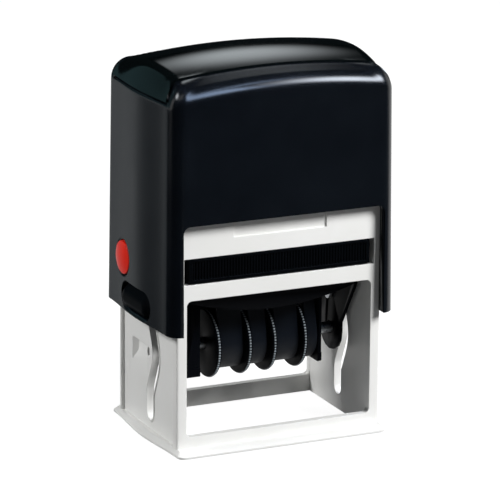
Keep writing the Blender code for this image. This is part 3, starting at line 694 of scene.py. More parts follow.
# The front and rear walls are thicker up to just above the cut-outs
lip = hollow("lip", coverCuts["cutOutTop"] + coverCuts["postDepth"])
postInside = casing["halfDepth"] - coverCuts["postDepth"]
lipOutline = roundedOutline(
    casing["halfWidth"] - coverCuts["wall"], postInside, casing["corner"] - coverCuts["wall"]
)
lowEnd = casing["bottom"] - farPast
carved(lip, [pushed("lipBore", lipOutline, "z", lowEnd, coverCuts["cutOutTop"] + farPast)])
carved(cavity, [lip.data])
cutOutOutline = moved(roundedOutline(
    coverCuts["cutOutHalfWidth"], coverCuts["cutOutTop"] - casing["bottom"], coverCuts["cutOutCorner"]
), 0, casing["bottom"])
cutOutEnd = casing["halfDepth"] + past
cutOut = asObject("cutOut", pushed("cutOut", cutOutOutline, "y", -cutOutEnd, cutOutEnd))
keepWidth = casing["halfWidth"] + farPast
keepDepth = postInside - past
carved(cutOut, [block(
    "keep", -keepWidth, keepWidth, -keepDepth, keepDepth, lowEnd, coverCuts["cutOutTop"] + past
)])
carved(cover, [cavity.data, seat.data, cutOut.data])
for helper in (seat, cavity, lip, cutOut):
    bpy.data.objects.remove(helper)


def wallX(y, z):
    # Where the cover's side surface is
    straight = casing["halfDepth"] - casing["corner"]
    bow = casing["bow"] * (1 + math.cos(math.pi * y / straight)) / 2
    return casing["halfWidth"] - casing["draftShare"] * (z - casing["bottom"]) + bow


ovalHole = moved(roundedOutline(
    coverCuts["ovalHalfLength"],
    coverCuts["ovalHalfHeight"],
    coverCuts["ovalHalfHeight"],
    cornerSteps=coverCuts["ovalSteps"],
), 0, coverCuts["ovalZ"])
buttonCentre = (coverCuts["buttonY"], coverCuts["buttonZ"])
buttonHole = moved(circleOutline(coverCuts["buttonHole"], coverCuts["buttonSteps"]), *buttonCentre)
buttonRing = moved(circleOutline(coverCuts["buttonRing"], coverCuts["buttonSteps"]), *buttonCentre)
for side in (-1, 1):
    outside = side * (casing["halfWidth"] + sidePast)
    inside = side * (casing["halfWidth"] - coverCuts["wall"] - past)
    ringFloor = side * (wallX(*buttonCentre) - coverCuts["ringDepth"])
    carved(cover, [
        pushed("bore", buttonHole, "x", inside, outside),
        pushed("ring", buttonRing, "x", ringFloor, outside),
        pushed("oval", ovalHole, "x", inside, outside),
    ])
softened(cover, coverCuts["edgeRounding"], angle=40)
shadedLike(cover, casingSkin("coverSkin", 0.0, casing["bottom"]))
fitted(cover, blackAbs, "cover", "black_abs", "cover")
print("stage: cover and cap built,", len(cover.data.polygons), len(cap.data.polygons), "faces")

# Lock buttons: a low dome in a ring groove
button = {
    "radius": 4.75,
    "flangeRadius": 6.0,
    "flange": 0.8,
    "dome": 0.7,
    "domeStart": 0.2,
    "domeSteps": 8,
    "edge": 0.35,
    "edgeDrop": 0.15,
    "edgeSteps": 5,
    "steps": 64,
}
for side, name in ((-1, "left"), (1, "right")):
    low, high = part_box("lock_button_" + name)
    inner = min(abs(low[0]), abs(high[0])) / mm
    outer = max(abs(low[0]), abs(high[0])) / mm
    rim = outer - button["dome"]
    start = inner + button["flange"]
    edge = button["edge"]
    edgeStart = rim - button["edgeDrop"]
    reach = button["radius"] - edge
    profile = [
        (0.0, inner),
        (button["flangeRadius"], inner),
        (button["flangeRadius"], start),
        (button["radius"], start),
        (button["radius"], edgeStart),
    ]
    for i in range(1, button["edgeSteps"] + 1):
        angle = math.pi / 2 * i / button["edgeSteps"]
        profile.append((reach + edge * math.cos(angle), edgeStart + edge * math.sin(angle)))
    domeRise = button["dome"] - button["domeStart"]
    for i in range(1, button["domeSteps"] + 1):
        share = 1 - i / button["domeSteps"]
        x = rim + button["domeStart"] + domeRise * (1 - share * share)
        profile.append((reach * share, x))
    placed = [(radius, side * x) for radius, x in profile]
    made = asObject("lockButton_" + name, turnedOnX("button", placed, buttonCentre, button["steps"]))
    softened(made, 0.0, angle=40)
    fitted(made, redAbs, "button_" + name, "red_abs", "lock_button_" + name)

# Guide shoes: a deep oval pocket with a rounded boss that leans to its lower rear
shoe = {
    "z": 39.2,
    "halfLength": 9.9,
    "halfHeight": 4.0,
    "flange": 1.2,
    "guideX": 30.25,
    "innerX": 31.9,
    "wallX": 35.0,
    "pocketDepth": 2.0,
    "bossStart": 0.1,
    "bossEnd": 0.85,
    "bossFullness": 0.55,
    "bossSteps": 24,
    "leanRear": 1.1,
    "leanDown": 0.6,
    "leanShare": 0.34,
    "cornerSteps": 14,
}
for side, name in ((-1, "left"), (1, "right")):
    # Each stage: how far out, how much wider than the oval, and how far it leans
    stages = [
        (shoe["guideX"], shoe["flange"], 0),
        (shoe["innerX"], shoe["flange"], 0),
        (shoe["innerX"], 0, 0),
        (shoe["wallX"] - shoe["pocketDepth"], 0, 0),
    ]
    for i in range(shoe["bossSteps"] + 1):
        share = i / shoe["bossSteps"]
        inset = shoe["bossStart"] + (shoe["bossEnd"] - shoe["bossStart"]) * share
        depth = (1 + math.cos(math.pi * share ** shoe["bossFullness"])) / 2
        lean = min(inset / shoe["leanShare"], 1.0)
        x = shoe["wallX"] - shoe["pocketDepth"] * depth
        stages.append((x, -shoe["halfHeight"] * inset, lean))
    rings = []
    for x, grow, lean in stages:
        height = shoe["halfHeight"] + min(grow, 0)
        length = shoe["halfLength"] + grow
        outline = roundedOutline(length, height, height, cornerSteps=shoe["cornerSteps"])
        placed = moved(outline, shoe["leanRear"] * lean, shoe["z"] - shoe["leanDown"] * lean)
        rings.append([(side * x, y, z) for y, z in placed])
    made = asObject("guideShoe_" + name, looped("shoe", rings))
    softened(made, 0.0, angle=50)
    fitted(made, mattAbs, "cover", "black_abs", "guide_shoe_" + name)
print("stage: buttons and shoes built")

# Inner frame: a deep white box on a bowed foot, with two windows, a tray slot,
# and a cam slot in each side
shell = {
    "halfWidth": 30.85,
    "halfDepth": 20.25,
    "corner": 0.6,
    "top": 66.8,
    "innerX": 27.95,
    "innerY": 18.15,
    "hollowTop": 70.0,
    "deckBottom": 55.6,
    "deckTop": 57.4,
    "bandTop": 48.2,
    "windowHalfWidth": 27.9,
    "windowBottom": 4.8,
    "windowTop": 43.7,
    "windowCorner": 1.5,
    "traySlotHalfWidth": 28.75,
}
foot = {
    "halfWidth": 31.6,
    "halfDepth": 24.3,
    "corner": 2.0,
    "bow": 1.4,
    "edge": 0.6,
    "height": 1.75,
    "bevel": 1.9,
}
panel = {
    "x": 29.95,
    "frontRail": 2.9,
    "rearRail": 1.5,
    "pocketFront": 2.6,
    "pocketRear": 12.8,
    "pocketBottom": 18.4,
    "pocketTop": 25.2,
    "pocketDepth": 1.4,
    "pocketSlopes": (1.0, 1.4, 3.1, 0.5),
    "peepY": 1.4,
    "peepZ": 23.6,
    "peepHalfWidth": 0.7,
    "peepHalfHeight": 1.3,
    "lipWidth": 0.55,
    "lipHeight": 0.2,
    "lipRoot": 0.5,
}
label = {"halfWidth": 14.0, "bottom": 60.4, "top": 66.0, "depth": 0.6}
deck = {
    "legInner": 26.55,
    "legFront": 2.8,
    "legRear": 11.0,
    "bossX": 19.0,
    "bossY": -7.0,
    "bossRadius": 2.6,
    "bossRise": 3.0,
    "bossRoot": 0.9,
    "bossSteps": 32,
}
cam = {
    "slotWidth": 4.5,
    "slotBottom": 6.6,
    "arm": 4.1,
    "stroke": 30.7,
    "pivotZ": 39.1,
    "steps": 48,
    "endSteps": 12,
}


def camPath(half):
    # The cam pin's path as the cover goes down and the unit turns over, widened to an outline
    centre = []
    for i in range(cam["steps"] + 1):
        turned = math.pi * i / cam["steps"]
        height = cam["pivotZ"] - cam["stroke"] * i / cam["steps"] - cam["arm"] * math.cos(turned)
        centre.append(Vector((-cam["arm"] * math.sin(turned), height)))
    centre.append(Vector((0.0, cam["slotBottom"])))
    left, right = [], []
    for i, point in enumerate(centre):
        along = (centre[min(i + 1, len(centre) - 1)] - centre[max(i - 1, 0)]).normalized()
        aside = Vector((-along.y, along.x)) * half
        left.append(point + aside)
        right.append(point - aside)
    angles = [math.pi * i / cam["endSteps"] for i in range(1, cam["endSteps"])]
    bottom = [centre[-1] + Vector((math.cos(angle), -math.sin(angle))) * half for angle in angles]
    top = [centre[0] + Vector((-math.cos(angle), math.sin(angle))) * half for angle in angles]
    return [tuple(point) for point in left + bottom + right[::-1] + top]


def footRing(height, insetX, insetY, corner):
    # The foot's outline at a height, in from its widest by these insets
    outline = roundedOutline(
        foot["halfWidth"] - insetX, foot["halfDepth"] - insetY, corner, cornerSteps=8,
        bow=foot["bow"] * (1 - insetX / foot["bevel"]), sideSteps=24,
    )
    return [(x, y, height) for x, y in outline]


shellOutline = roundedOutline(shell["halfWidth"], shell["halfDepth"], shell["corner"], cornerSteps=4)
innerFrame = asObject("innerFrame", pushed("shell", shellOutline, "z", 0, shell["top"]))
carved(innerFrame, [looped("foot", [
    footRing(0, 0, 0, foot["corner"]),
    footRing(foot["edge"], 0, 0, foot["corner"]),
    footRing(foot["height"], foot["bevel"] / 2, foot["bevel"], foot["corner"] / 2),
])], "UNION")
innerX = shell["innerX"]
innerY = shell["innerY"]
reachY = foot["halfDepth"] + past
windowHeight = (shell["windowTop"] - shell["windowBottom"]) / 2
window = roundedOutline(shell["windowHalfWidth"], windowHeight, shell["windowCorner"], cornerSteps=8)
cuts = [
    block("lower", -innerX, innerX, -innerY, innerY, -past, shell["deckBottom"]),
    block("upper", -innerX, innerX, -innerY, innerY, shell["deckTop"], shell["hollowTop"]),
    pushed("window", moved(window, 0, shell["windowBottom"] + windowHeight), "y", -reachY, reachY),
    block(
        "traySlot", -shell["traySlotHalfWidth"], shell["traySlotHalfWidth"], -reachY, reachY,
        shell["bandTop"], shell["deckBottom"],
    ),
    block(
        "label", -label["halfWidth"], label["halfWidth"],
        -shell["halfDepth"] - past, -shell["halfDepth"] + label["depth"],
        label["bottom"], label["top"],
    ),
]
lips = []
lateCuts = []
for side in (-1, 1):
    inside = side * (innerX - past)
    outside = side * (shell["halfWidth"] + past)
    xLow, xHigh = sorted((side * panel["x"], outside))
    cuts.append(block(
        "panel", xLow, xHigh,
        -shell["halfDepth"] + panel["frontRail"], shell["halfDepth"] - panel["rearRail"],
        foot["height"], shell["top"] + past,
    ))
    lips.append(pushed(
        "lip", camPath(cam["slotWidth"] / 2 + panel["lipWidth"]), "x",
        side * (panel["x"] - panel["lipRoot"]), side * (panel["x"] + panel["lipHeight"]),
    ))
    lateCuts.append(pushed("camSlot", camPath(cam["slotWidth"] / 2), "x", inside, outside))
    # The lock pocket narrows inwards: how far its front, rear, bottom and top slope in
    stages = [
        (panel["x"] + past, (0.0, 0.0, 0.0, 0.0)),
        (panel["x"], (0.0, 0.0, 0.0, 0.0)),
        (panel["x"] - panel["pocketDepth"], panel["pocketSlopes"]),
    ]
    pocketRings = []
    for x, (front, rear, bottom, top) in stages:
        yLow = panel["pocketFront"] + front
        yHigh = panel["pocketRear"] - rear
        zLow = panel["pocketBottom"] + bottom
        zHigh = panel["pocketTop"] - top
        corners = ((yLow, zLow), (yHigh, zLow), (yHigh, zHigh), (yLow, zHigh))
        pocketRings.append([(side * x, y, z) for y, z in corners])
    lateCuts.append(looped("pocket", pocketRings))
    peepWidth = panel["peepHalfWidth"]
    peep = roundedOutline(peepWidth, panel["peepHalfHeight"], peepWidth, cornerSteps=8)
    lateCuts.append(pushed("peep", moved(peep, panel["peepY"], panel["peepZ"]), "x", inside, outside))
    legLow, legHigh = sorted((side * deck["legInner"], side * innerX))
    lateCuts.append(block(
        "legSlot", legLow, legHigh, deck["legFront"], deck["legRear"],
        shell["deckBottom"] - past, shell["deckTop"] + past,
    ))
carved(innerFrame, cuts)
carved(innerFrame, lips, "UNION")
carved(innerFrame, lateCuts)
boss = circleOutline(deck["bossRadius"], deck["bossSteps"])
carved(innerFrame, [
    pushed(
        "boss", moved(boss, side * deck["bossX"], deck["bossY"]), "z",
        shell["deckTop"] - deck["bossRoot"], shell["deckTop"] + deck["bossRise"],
    )
    for side in (-1, 1)
], "UNION")
softened(innerFrame, 0.0, loose=True)
fitted(innerFrame, whiteAbs, "frame", "white_abs", "frame")
print("stage: frame built,", len(innerFrame.data.polygons), "faces")

# The plain moulded parts keep the CAD's shapes, and their finish rounds the edges
mouldings = {
    "liftYoke": ("lift_yoke", mattAbs, "cover", "black_abs"),
    "dateUnitBody": ("unit_body", darkNylon, "date_unit", "dark_nylon"),
    "textPlate": ("text_plate", darkNylon, "date_unit", "dark_nylon"),
    "textRubber": ("text_rubber", typeRubber, "date_unit", "type_rubber"),
    "bandFrame": ("band_frame", darkNylon, "date_unit", "dark_nylon"),
}
for name, (node, finish, body, slot) in mouldings.items():
    made = copyOf(node, name)
    softened(made, 0.0)
    fitted(made, finish, body, slot, node)
print("stage: mouldings set")


# Geometry trees for what repeats or follows a path: wheels, knurling, bands, ribs and coils
def newTree(name, inputs):
    # A tree with named inputs, and what they give
    tree = bpy.data.node_groups.new(name, "GeometryNodeTree")
    kinds = {
        "shape": "NodeSocketGeometry",
        "length": "NodeSocketFloat",
        "count": "NodeSocketInt",
        "finish": "NodeSocketMaterial",
    }
    for label, kind in inputs.items():
        tree.interface.new_socket(name=label, in_out="INPUT", socket_type=kinds[kind])
    tree.interface.new_socket(name="Geometry", in_out="OUTPUT", socket_type="NodeSocketGeometry")
    return tree, tree.nodes.new("NodeGroupInput").outputs


def closeTree(tree, shape, given):
    # Real geometry with its finish: the end of every tree
    real = addNode(tree, "GeometryNodeRealizeInstances", links={"Geometry": shape})
    dressed = addNode(tree, "GeometryNodeSetMaterial", links={
        "Geometry": real.outputs["Geometry"],
        "Material": given["Finish"],
    })
    addNode(tree, "NodeGroupOutput", links={"Geometry": dressed.outputs["Geometry"]})


def ringBody(tree, outer, inner, height, edge):
    # A ring about Z with rounded edges, from its outer and inner radius
    width = addNode(tree, "ShaderNodeMath", {"operation": "SUBTRACT"}, {0: outer, 1: inner})
    both = addNode(tree, "ShaderNodeMath", {"operation": "ADD"}, {0: outer, 1: inner})
    middle = addNode(tree, "ShaderNodeMath", {"operation": "MULTIPLY", 1: 0.5}, {0: both.outputs[0]})
    path = addNode(tree, "GeometryNodeCurvePrimitiveCircle", {"Resolution": 96}, {
        "Radius": middle.outputs[0],
    })
    upright = addNode(tree, "GeometryNodeSetCurveNormal", {"mode": "Z_UP"}, {
        "Curve": path.outputs["Curve"],
    })
    section = addNode(tree, "GeometryNodeCurvePrimitiveQuadrilateral", links={
        "Width": width.outputs[0],
        "Height": height,
    })
    rounded = addNode(tree, "GeometryNodeFilletCurve", {"mode": "POLY", "Count": 3}, {
        "Curve": section.outputs["Curve"],
        "Radius": edge,
    })
    body = addNode(tree, "GeometryNodeCurveToMesh", links={
        "Curve": upright.outputs["Curve"],
        "Profile Curve": rounded.outputs["Curve"],
    })
    return body.outputs["Mesh"]


def grown(tree, values, start=None):
    # The plain mesh that a tree makes from these inputs
    carrier = asObject("carrier", start or bpy.data.meshes.new("carrier"))
    growth = carrier.modifiers.new("growth", "NODES")
    growth.node_group = tree
    for item in tree.interface.items_tree:
        if item.item_type == "SOCKET" and item.name in values:
            growth[item.identifier] = values[item.name]
    graph = bpy.context.evaluated_depsgraph_get()
    mesh = bpy.data.meshes.new_from_object(carrier.evaluated_get(graph))
    carrier.modifiers.remove(growth)
    bpy.data.objects.remove(carrier)
    return mesh


# Setting wheels: a rim, and the hub that the band runs on
wheelTree, given = newTree("settingWheel", {
    "Rim Radius": "length",
    "Bore Radius": "length",
    "Rim Width": "length",
    "Hub Radius": "length",
    "Hub Length": "length",
    "Edge": "length",
    "Finish": "finish",
})
rim = ringBody(wheelTree, given["Rim Radius"], given["Bore Radius"], given["Rim Width"], given["Edge"])
hub = ringBody(wheelTree, given["Hub Radius"], given["Bore Radius"], given["Hub Length"], given["Edge"])
halfHub = addNode(wheelTree, "ShaderNodeMath", {"operation": "MULTIPLY", 1: 0.5}, {
    0: given["Hub Length"],
})
hubPlace = addNode(wheelTree, "ShaderNodeCombineXYZ", links={"Z": halfHub.outputs[0]})
hubMoved = addNode(wheelTree, "GeometryNodeTransform", links={
    "Geometry": hub,
    "Translation": hubPlace.outputs["Vector"],
})
wheelWhole = addNode(wheelTree, "GeometryNodeJoinGeometry", links={
    "Geometry": [rim, hubMoved.outputs["Geometry"]],
})
closeTree(wheelTree, wheelWhole.outputs["Geometry"], given)

# The wheels' knurling: a row of short ridges round the rim, painted lighter as a painted highlight
knurlTree, given = newTree("knurling", {
    "Circle Radius": "length",
    "Ridge Radius": "length",
    "Ridge Length": "length",
    "Ridges": "count",
    "Finish": "finish",
})
ridgePoints = addNode(knurlTree, "GeometryNodeMeshCircle", links={
    "Vertices": given["Ridges"],
    "Radius": given["Circle Radius"],
})
ridge = addNode(knurlTree, "GeometryNodeMeshCylinder", {"Vertices": 8}, {
    "Radius": given["Ridge Radius"],
    "Depth": given["Ridge Length"],
})
ridges = addNode(knurlTree, "GeometryNodeInstanceOnPoints", links={
    "Points": ridgePoints.outputs["Mesh"],
    "Instance": ridge.outputs["Mesh"],
})
closeTree(knurlTree, ridges.outputs["Instances"], given)

wheel = {
    "z": 24.7,
    "radius": 9.8,
    "rimRadius": 9.55,
    "bore": 1.75,
    "width": 1.4,
    "hubRadius": 6.3,
    "edge": 0.18,
    "ridgeRadius": 0.27,
    "ridgeLength": 0.5,
    "ridges": 74,
}
standUp = Matrix.Rotation(math.radians(90), 4, "Y")
for number in range(1, 5):
    node = "setting_wheel_" + str(number)
    low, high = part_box(node)
    discX = low[0] + wheel["width"] * mm / 2
    mesh = grown(wheelTree, {
        "Rim Radius": wheel["rimRadius"] * mm,
        "Bore Radius": wheel["bore"] * mm,
        "Rim Width": wheel["width"] * mm,
        "Hub Radius": wheel["hubRadius"] * mm,
        "Hub Length": high[0] - discX,
        "Edge": wheel["edge"] * mm,
        "Finish": darkNylon,
    })
    wheelPlace = Matrix.Translation((discX, 0, wheel["z"] * mm)) @ standUp
    mesh.transform(wheelPlace)
    made = asObject("settingWheel_" + str(number), mesh)
    softened(made, 0.0)
    fitted(made, darkNylon, "wheel_" + str(number), "dark_nylon", node)
    # The ridges take the light grey finish: a painted highlight for the glints along the rims
    knurling = grown(knurlTree, {
        "Circle Radius": (wheel["radius"] - wheel["ridgeRadius"]) * mm,
        "Ridge Radius": wheel["ridgeRadius"] * mm,
        "Ridge Length": wheel["ridgeLength"] * mm,
        "Ridges": wheel["ridges"],
        "Finish": glintPaintedNylon,
    })
    knurling.transform(wheelPlace)
    made = asObject("wheelKnurling_" + str(number), knurling)
    softened(made, 0.0)
    fitted(made, glintPaintedNylon, "wheel_" + str(number), "dark_nylon")

# Type bands: a flat rubber loop round the hub and the nose
bandTree, given = newTree("flatBand", {
    "Loop": "shape",
    "Thickness": "length",
    "Width": "length",
    "Edge": "length",
    "Finish": "finish",
})
loopCurve = addNode(bandTree, "GeometryNodeMeshToCurve", links={"Mesh": given["Loop"]})
loopUpright = addNode(bandTree, "GeometryNodeSetCurveNormal", {"mode": "Z_UP"}, {
    "Curve": loopCurve.outputs["Curve"],
})
bandSection = addNode(bandTree, "GeometryNodeCurvePrimitiveQuadrilateral", links={
    "Width": given["Thickness"],
    "Height": given["Width"],
})
bandRounded = addNode(bandTree, "GeometryNodeFilletCurve", {"mode": "POLY", "Count": 2}, {
    "Curve": bandSection.outputs["Curve"],
    "Radius": given["Edge"],
})
bandBody = addNode(bandTree, "GeometryNodeCurveToMesh", links={
    "Curve": loopUpright.outputs["Curve"],
    "Profile Curve": bandRounded.outputs["Curve"],
})
closeTree(bandTree, bandBody.outputs["Mesh"], given)

band = {
    "hubRadius": 6.6,
    "noseRadius": 2.3,
    "noseZ": 44.3,
    "thickness": 0.9,
    "edge": 0.15,
    "steps": 40,
}


def bandLoop():
    # The band's middle line: X is along the depth, Y is up, both from the wheel's centre
    lower = band["hubRadius"] + band["thickness"] / 2
    upper = band["noseRadius"] + band["thickness"] / 2
    rise = band["noseZ"] - wheel["z"]
    lean = math.asin((lower - upper) / rise)
    points = []
    for i in range(band["steps"] + 1):
        angle = lean + (math.pi - 2 * lean) * i / band["steps"]
        points.append((upper * math.cos(angle), rise + upper * math.sin(angle), 0))
    for i in range(band["steps"] + 1):
        angle = math.pi - lean + (math.pi + 2 * lean) * i / band["steps"]
        points.append((lower * math.cos(angle), lower * math.sin(angle), 0))
    mesh = bpy.data.meshes.new("bandLoop")
    count = len(points)
    edges = [(i, (i + 1) % count) for i in range(count)]
    mesh.from_pydata([Vector(point) * mm for point in points], edges, [])
    return mesh


# Turns the loop's depth to Y, its height to Z and its width to X
acrossToX = Matrix(((0, 0, 1, 0), (1, 0, 0, 0), (0, 1, 0, 0), (0, 0, 0, 1)))
for number in range(1, 5):
    node = "type_band_" + str(number)
    low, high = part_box(node)
    mesh = grown(bandTree, {
        "Thickness": band["thickness"] * mm,
        "Width": high[0] - low[0],
        "Edge": band["edge"] * mm,
        "Finish": typeRubber,
    }, start=bandLoop())
    middle = (low[0] + high[0]) / 2
    mesh.transform(Matrix.Translation((middle, 0, wheel["z"] * mm)) @ acrossToX)
    made = asObject("typeBand_" + str(number), mesh)
    softened(made, 0.0)
    fitted(made, typeRubber, "date_unit", "type_rubber", node)

# Ink pad tray: a box with a ribbed pull face
ribTree, given = newTree("ribRow", {
    "Ribs": "count",
    "Pitch": "length",
    "Rib Radius": "length",
    "Rib Length": "length",
    "Finish": "finish",
})
gaps = addNode(ribTree, "ShaderNodeMath", {"operation": "SUBTRACT", 1: 1.0}, {0: given["Ribs"]})
span = addNode(ribTree, "ShaderNodeMath", {"operation": "MULTIPLY"}, {
    0: gaps.outputs[0],
    1: given["Pitch"],
})
first = addNode(ribTree, "ShaderNodeMath", {"operation": "MULTIPLY", 1: -0.5}, {0: span.outputs[0]})
firstPlace = addNode(ribTree, "ShaderNodeCombineXYZ", links={"X": first.outputs[0]})
step = addNode(ribTree, "ShaderNodeCombineXYZ", links={"X": given["Pitch"]})
ribPoints = addNode(ribTree, "GeometryNodeMeshLine", {"mode": "OFFSET"}, {
    "Count": given["Ribs"],
    "Start Location": firstPlace.outputs["Vector"],
    "Offset": step.outputs["Vector"],
})
rib = addNode(ribTree, "GeometryNodeMeshCylinder", {"Vertices": 10}, {
    "Radius": given["Rib Radius"],
    "Depth": given["Rib Length"],
})
ribRow = addNode(ribTree, "GeometryNodeInstanceOnPoints", links={
    "Points": ribPoints.outputs["Mesh"],
    "Instance": rib.outputs["Mesh"],
})
closeTree(ribTree, ribRow.outputs["Instances"], given)

tray = {
    "bodyHalfWidth": 26.15,
    "faceHalfWidth": 27.35,
    "faceThickness": 2.0,
    "wall": 0.8,
    "roof": 1.6,
    "fieldMarginX": 1.2,
    "fieldMarginLow": 1.0,
    "fieldMarginHigh": 0.7,
    "fieldDepth": 0.45,
    "ribPitch": 0.86,
    "ribRadius": 0.3,
    "ribOffset": 0.02,
    "bodySetBack": 0.3,
    "padGap": 0.3,
    "edge": 0.18,
}
low, high = (Vector(corner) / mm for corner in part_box("pad_tray"))
padLow, padHigh = (Vector(corner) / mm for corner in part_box("ink_pad"))

trayBody = asObject("inkPadTray", block(
    "tray", -tray["bodyHalfWidth"], tray["bodyHalfWidth"],
    low.y + tray["bodySetBack"], high.y, low.z, high.z,
))
carved(trayBody, [block(
    "face", -tray["faceHalfWidth"], tray["faceHalfWidth"],
    low.y, low.y + tray["faceThickness"], low.z, high.z,
)], "UNION")
inside = tray["bodyHalfWidth"] - tray["wall"]
fieldHalf = tray["faceHalfWidth"] - tray["fieldMarginX"]
fieldLow = low.z + tray["fieldMarginLow"]
fieldHigh = high.z - tray["fieldMarginHigh"]
carved(trayBody, [
    block(
        "hollow", -inside, inside, padLow.y - tray["padGap"], padHigh.y + tray["padGap"],
        low.z - past, high.z - tray["roof"],
    ),
    block(
        "field", -fieldHalf, fieldHalf, low.y - past, low.y + tray["fieldDepth"],
        fieldLow, fieldHigh,
    ),
])
softened(trayBody, tray["edge"])
ribCount = int(2 * (fieldHalf - tray["ribRadius"]) / tray["ribPitch"]) + 1
ribs = grown(ribTree, {
    "Ribs": ribCount,
    "Pitch": tray["ribPitch"] * mm,
    "Rib Radius": tray["ribRadius"] * mm,
    "Rib Length": (fieldHigh - fieldLow) * mm,
    "Finish": mattAbs,
})
ribDepth = low.y + tray["fieldDepth"] + tray["ribOffset"]
ribs.transform(Matrix.Translation(Vector((0, ribDepth, (fieldLow + fieldHigh) / 2)) * mm))
trayRibs = asObject("inkPadTrayRibs", ribs)
softened(trayRibs, 0.0)
fitted(trayBody, mattAbs, "tray", "black_abs", "pad_tray")
fitted(trayRibs, mattAbs, "tray", "black_abs")
print("stage: wheels, bands and tray grown")

# Return springs: coils wound to the CAD node's height; in the stamp they shorten as the cover goes down
springTree, given = newTree("coilSpring", {
    "Radius": "length",
    "Wire Radius": "length",
    "Height": "length",
    "Turns": "length",
    "Finish": "finish",
})
coil = addNode(springTree, "GeometryNodeCurveSpiral", {"Resolution": 40}, {
    "Rotations": given["Turns"],
    "Start Radius": given["Radius"],
    "End Radius": given["Radius"],
    "Height": given["Height"],
})
wire = addNode(springTree, "GeometryNodeCurvePrimitiveCircle", {"Resolution": 10}, {
    "Radius": given["Wire Radius"],
})
wound = addNode(springTree, "GeometryNodeCurveToMesh", {"Fill Caps": True}, {
    "Curve": coil.outputs["Curve"],
    "Profile Curve": wire.outputs["Curve"],
})
closeTree(springTree, wound.outputs["Mesh"], given)

spring = {"radius": 3.6, "wire": 0.4, "turns": 8.0, "stroke": 30.7}
for name in ("left", "right"):
    low, high = (Vector(corner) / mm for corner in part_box("return_spring_" + name))
    height = high.z - low.z - 2 * spring["wire"]
    mesh = grown(springTree, {
        "Radius": spring["radius"] * mm,
        "Wire Radius": spring["wire"] * mm,
        "Height": height * mm,
        "Turns": spring["turns"],
        "Finish": platedSteel,
    })
    start = Vector(((low.x + high.x) / 2, (low.y + high.y) / 2, low.z + spring["wire"]))
    mesh.transform(Matrix.Translation(start * mm))
    made = asObject("returnSpring_" + name, mesh)
    softened(made, 0.0)
    fitted(made, platedSteel, "frame", "plated_steel", "return_spring_" + name)
    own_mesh(made)
print("stage: springs wound")

# The picture's camera
view = {
    "target": (0.0, 0.0, 55.64),
    "distance": 1030.3,
    "left": 24.8,
    "above": 15.45,
    "roll": 0.45,
    "lens": 266.4,
    "shiftX": 0.00096,
    "shiftY": -0.0387,
}
left = math.radians(view["left"])
above = math.radians(view["above"])
ahead = Vector((
    math.sin(left) * math.cos(above),
    math.cos(left) * math.cos(above),
    -math.sin(above),
))
lens = bpy.data.cameras.new("pictureCamera")
lens.lens = view["lens"]
lens.sensor_width = 36.0
lens.shift_x = view["shiftX"]
lens.shift_y = view["shiftY"]
lens.clip_start = 0.05
lens.clip_end = 50.0
lens.dof.use_dof = False
camera = bpy.data.objects.new("pictureCamera", lens)
scene.collection.objects.link(camera)
camera.location = Vector(view["target"]) * mm - ahead * view["distance"] * mm
turn = ahead.to_track_quat("-Z", "Y").to_matrix() @ Matrix.Rotation(math.radians(view["roll"]), 3, "Z")
camera.rotation_euler = turn.to_euler()
scene.camera = camera


def seenRays(tree):
    # One for camera, glossy and transmission rays, and zero for the light that falls on the object
    path = addNode(tree, "ShaderNodeLightPath")
    both = addNode(tree, "ShaderNodeMath", {"operation": "ADD", "use_clamp": True}, {
        0: path.outputs["Is Camera Ray"],
        1: path.outputs["Is Glossy Ray"],
    })
    everySeen = addNode(tree, "ShaderNodeMath", {"operation": "ADD", "use_clamp": True}, {
        0: both.outputs[0],
        1: path.outputs["Is Transmission Ray"],
    })
    return everySeen.outputs[0]


# White paper floor: it is brighter to the eye than the light that it throws back up
floorLook = {"size": 6.0, "drop": 0.05, "colour": "6C6C6C", "glow": 0.95}
floorMesh = bpy.data.meshes.new("floor")
shape = bmesh.new()
bmesh.ops.create_grid(shape, x_segments=1, y_segments=1, size=floorLook["size"] / 2)
shape.to_mesh(floorMesh)
shape.free()
floor = asObject("floor", floorMesh)
floor.location = (0, 0, cadLow[2] - floorLook["drop"] * mm)
paper, paperTree, paperShader = newFinish("white_paper_floor", {
    "Base Color": toLinear(floorLook["colour"]),
    "Roughness": 0.9,
    "Specular IOR Level": 0.1,
    "Emission Color": (1.0, 1.0, 1.0, 1.0),
})
paperGlow = addNode(paperTree, "ShaderNodeMath", {"operation": "MULTIPLY", 1: floorLook["glow"]}, {
    0: seenRays(paperTree),
})
paperTree.links.new(paperGlow.outputs[0], paperShader.inputs["Emission Strength"])
floorMesh.materials.append(paper)

# The room: white to the eye, and a weak even light on the object
room = {"colour": "D8DCE2", "strength": 0.02}
world = bpy.data.worlds.new("studio")
scene.world = world
world.use_nodes = True
worldTree = world.node_tree
worldTree.nodes.clear()
seen = addNode(worldTree, "ShaderNodeBackground", {"Color": (1.0, 1.0, 1.0, 1.0), "Strength": 1.0})
ambient = addNode(worldTree, "ShaderNodeBackground", {
    "Color": toLinear(room["colour"]),
    "Strength": room["strength"],
})
mixed = addNode(worldTree, "ShaderNodeMixShader", links={
    "Fac": seenRays(worldTree),
    1: ambient.outputs["Background"],
    2: seen.outputs["Background"],
})
addNode(worldTree, "ShaderNodeOutputWorld", links={"Surface": mixed.outputs["Shader"]})


def reflectedOnly(made):
    # Stage that only reflections see
    made.visible_camera = False
    made.visible_diffuse = False
    made.visible_shadow = False


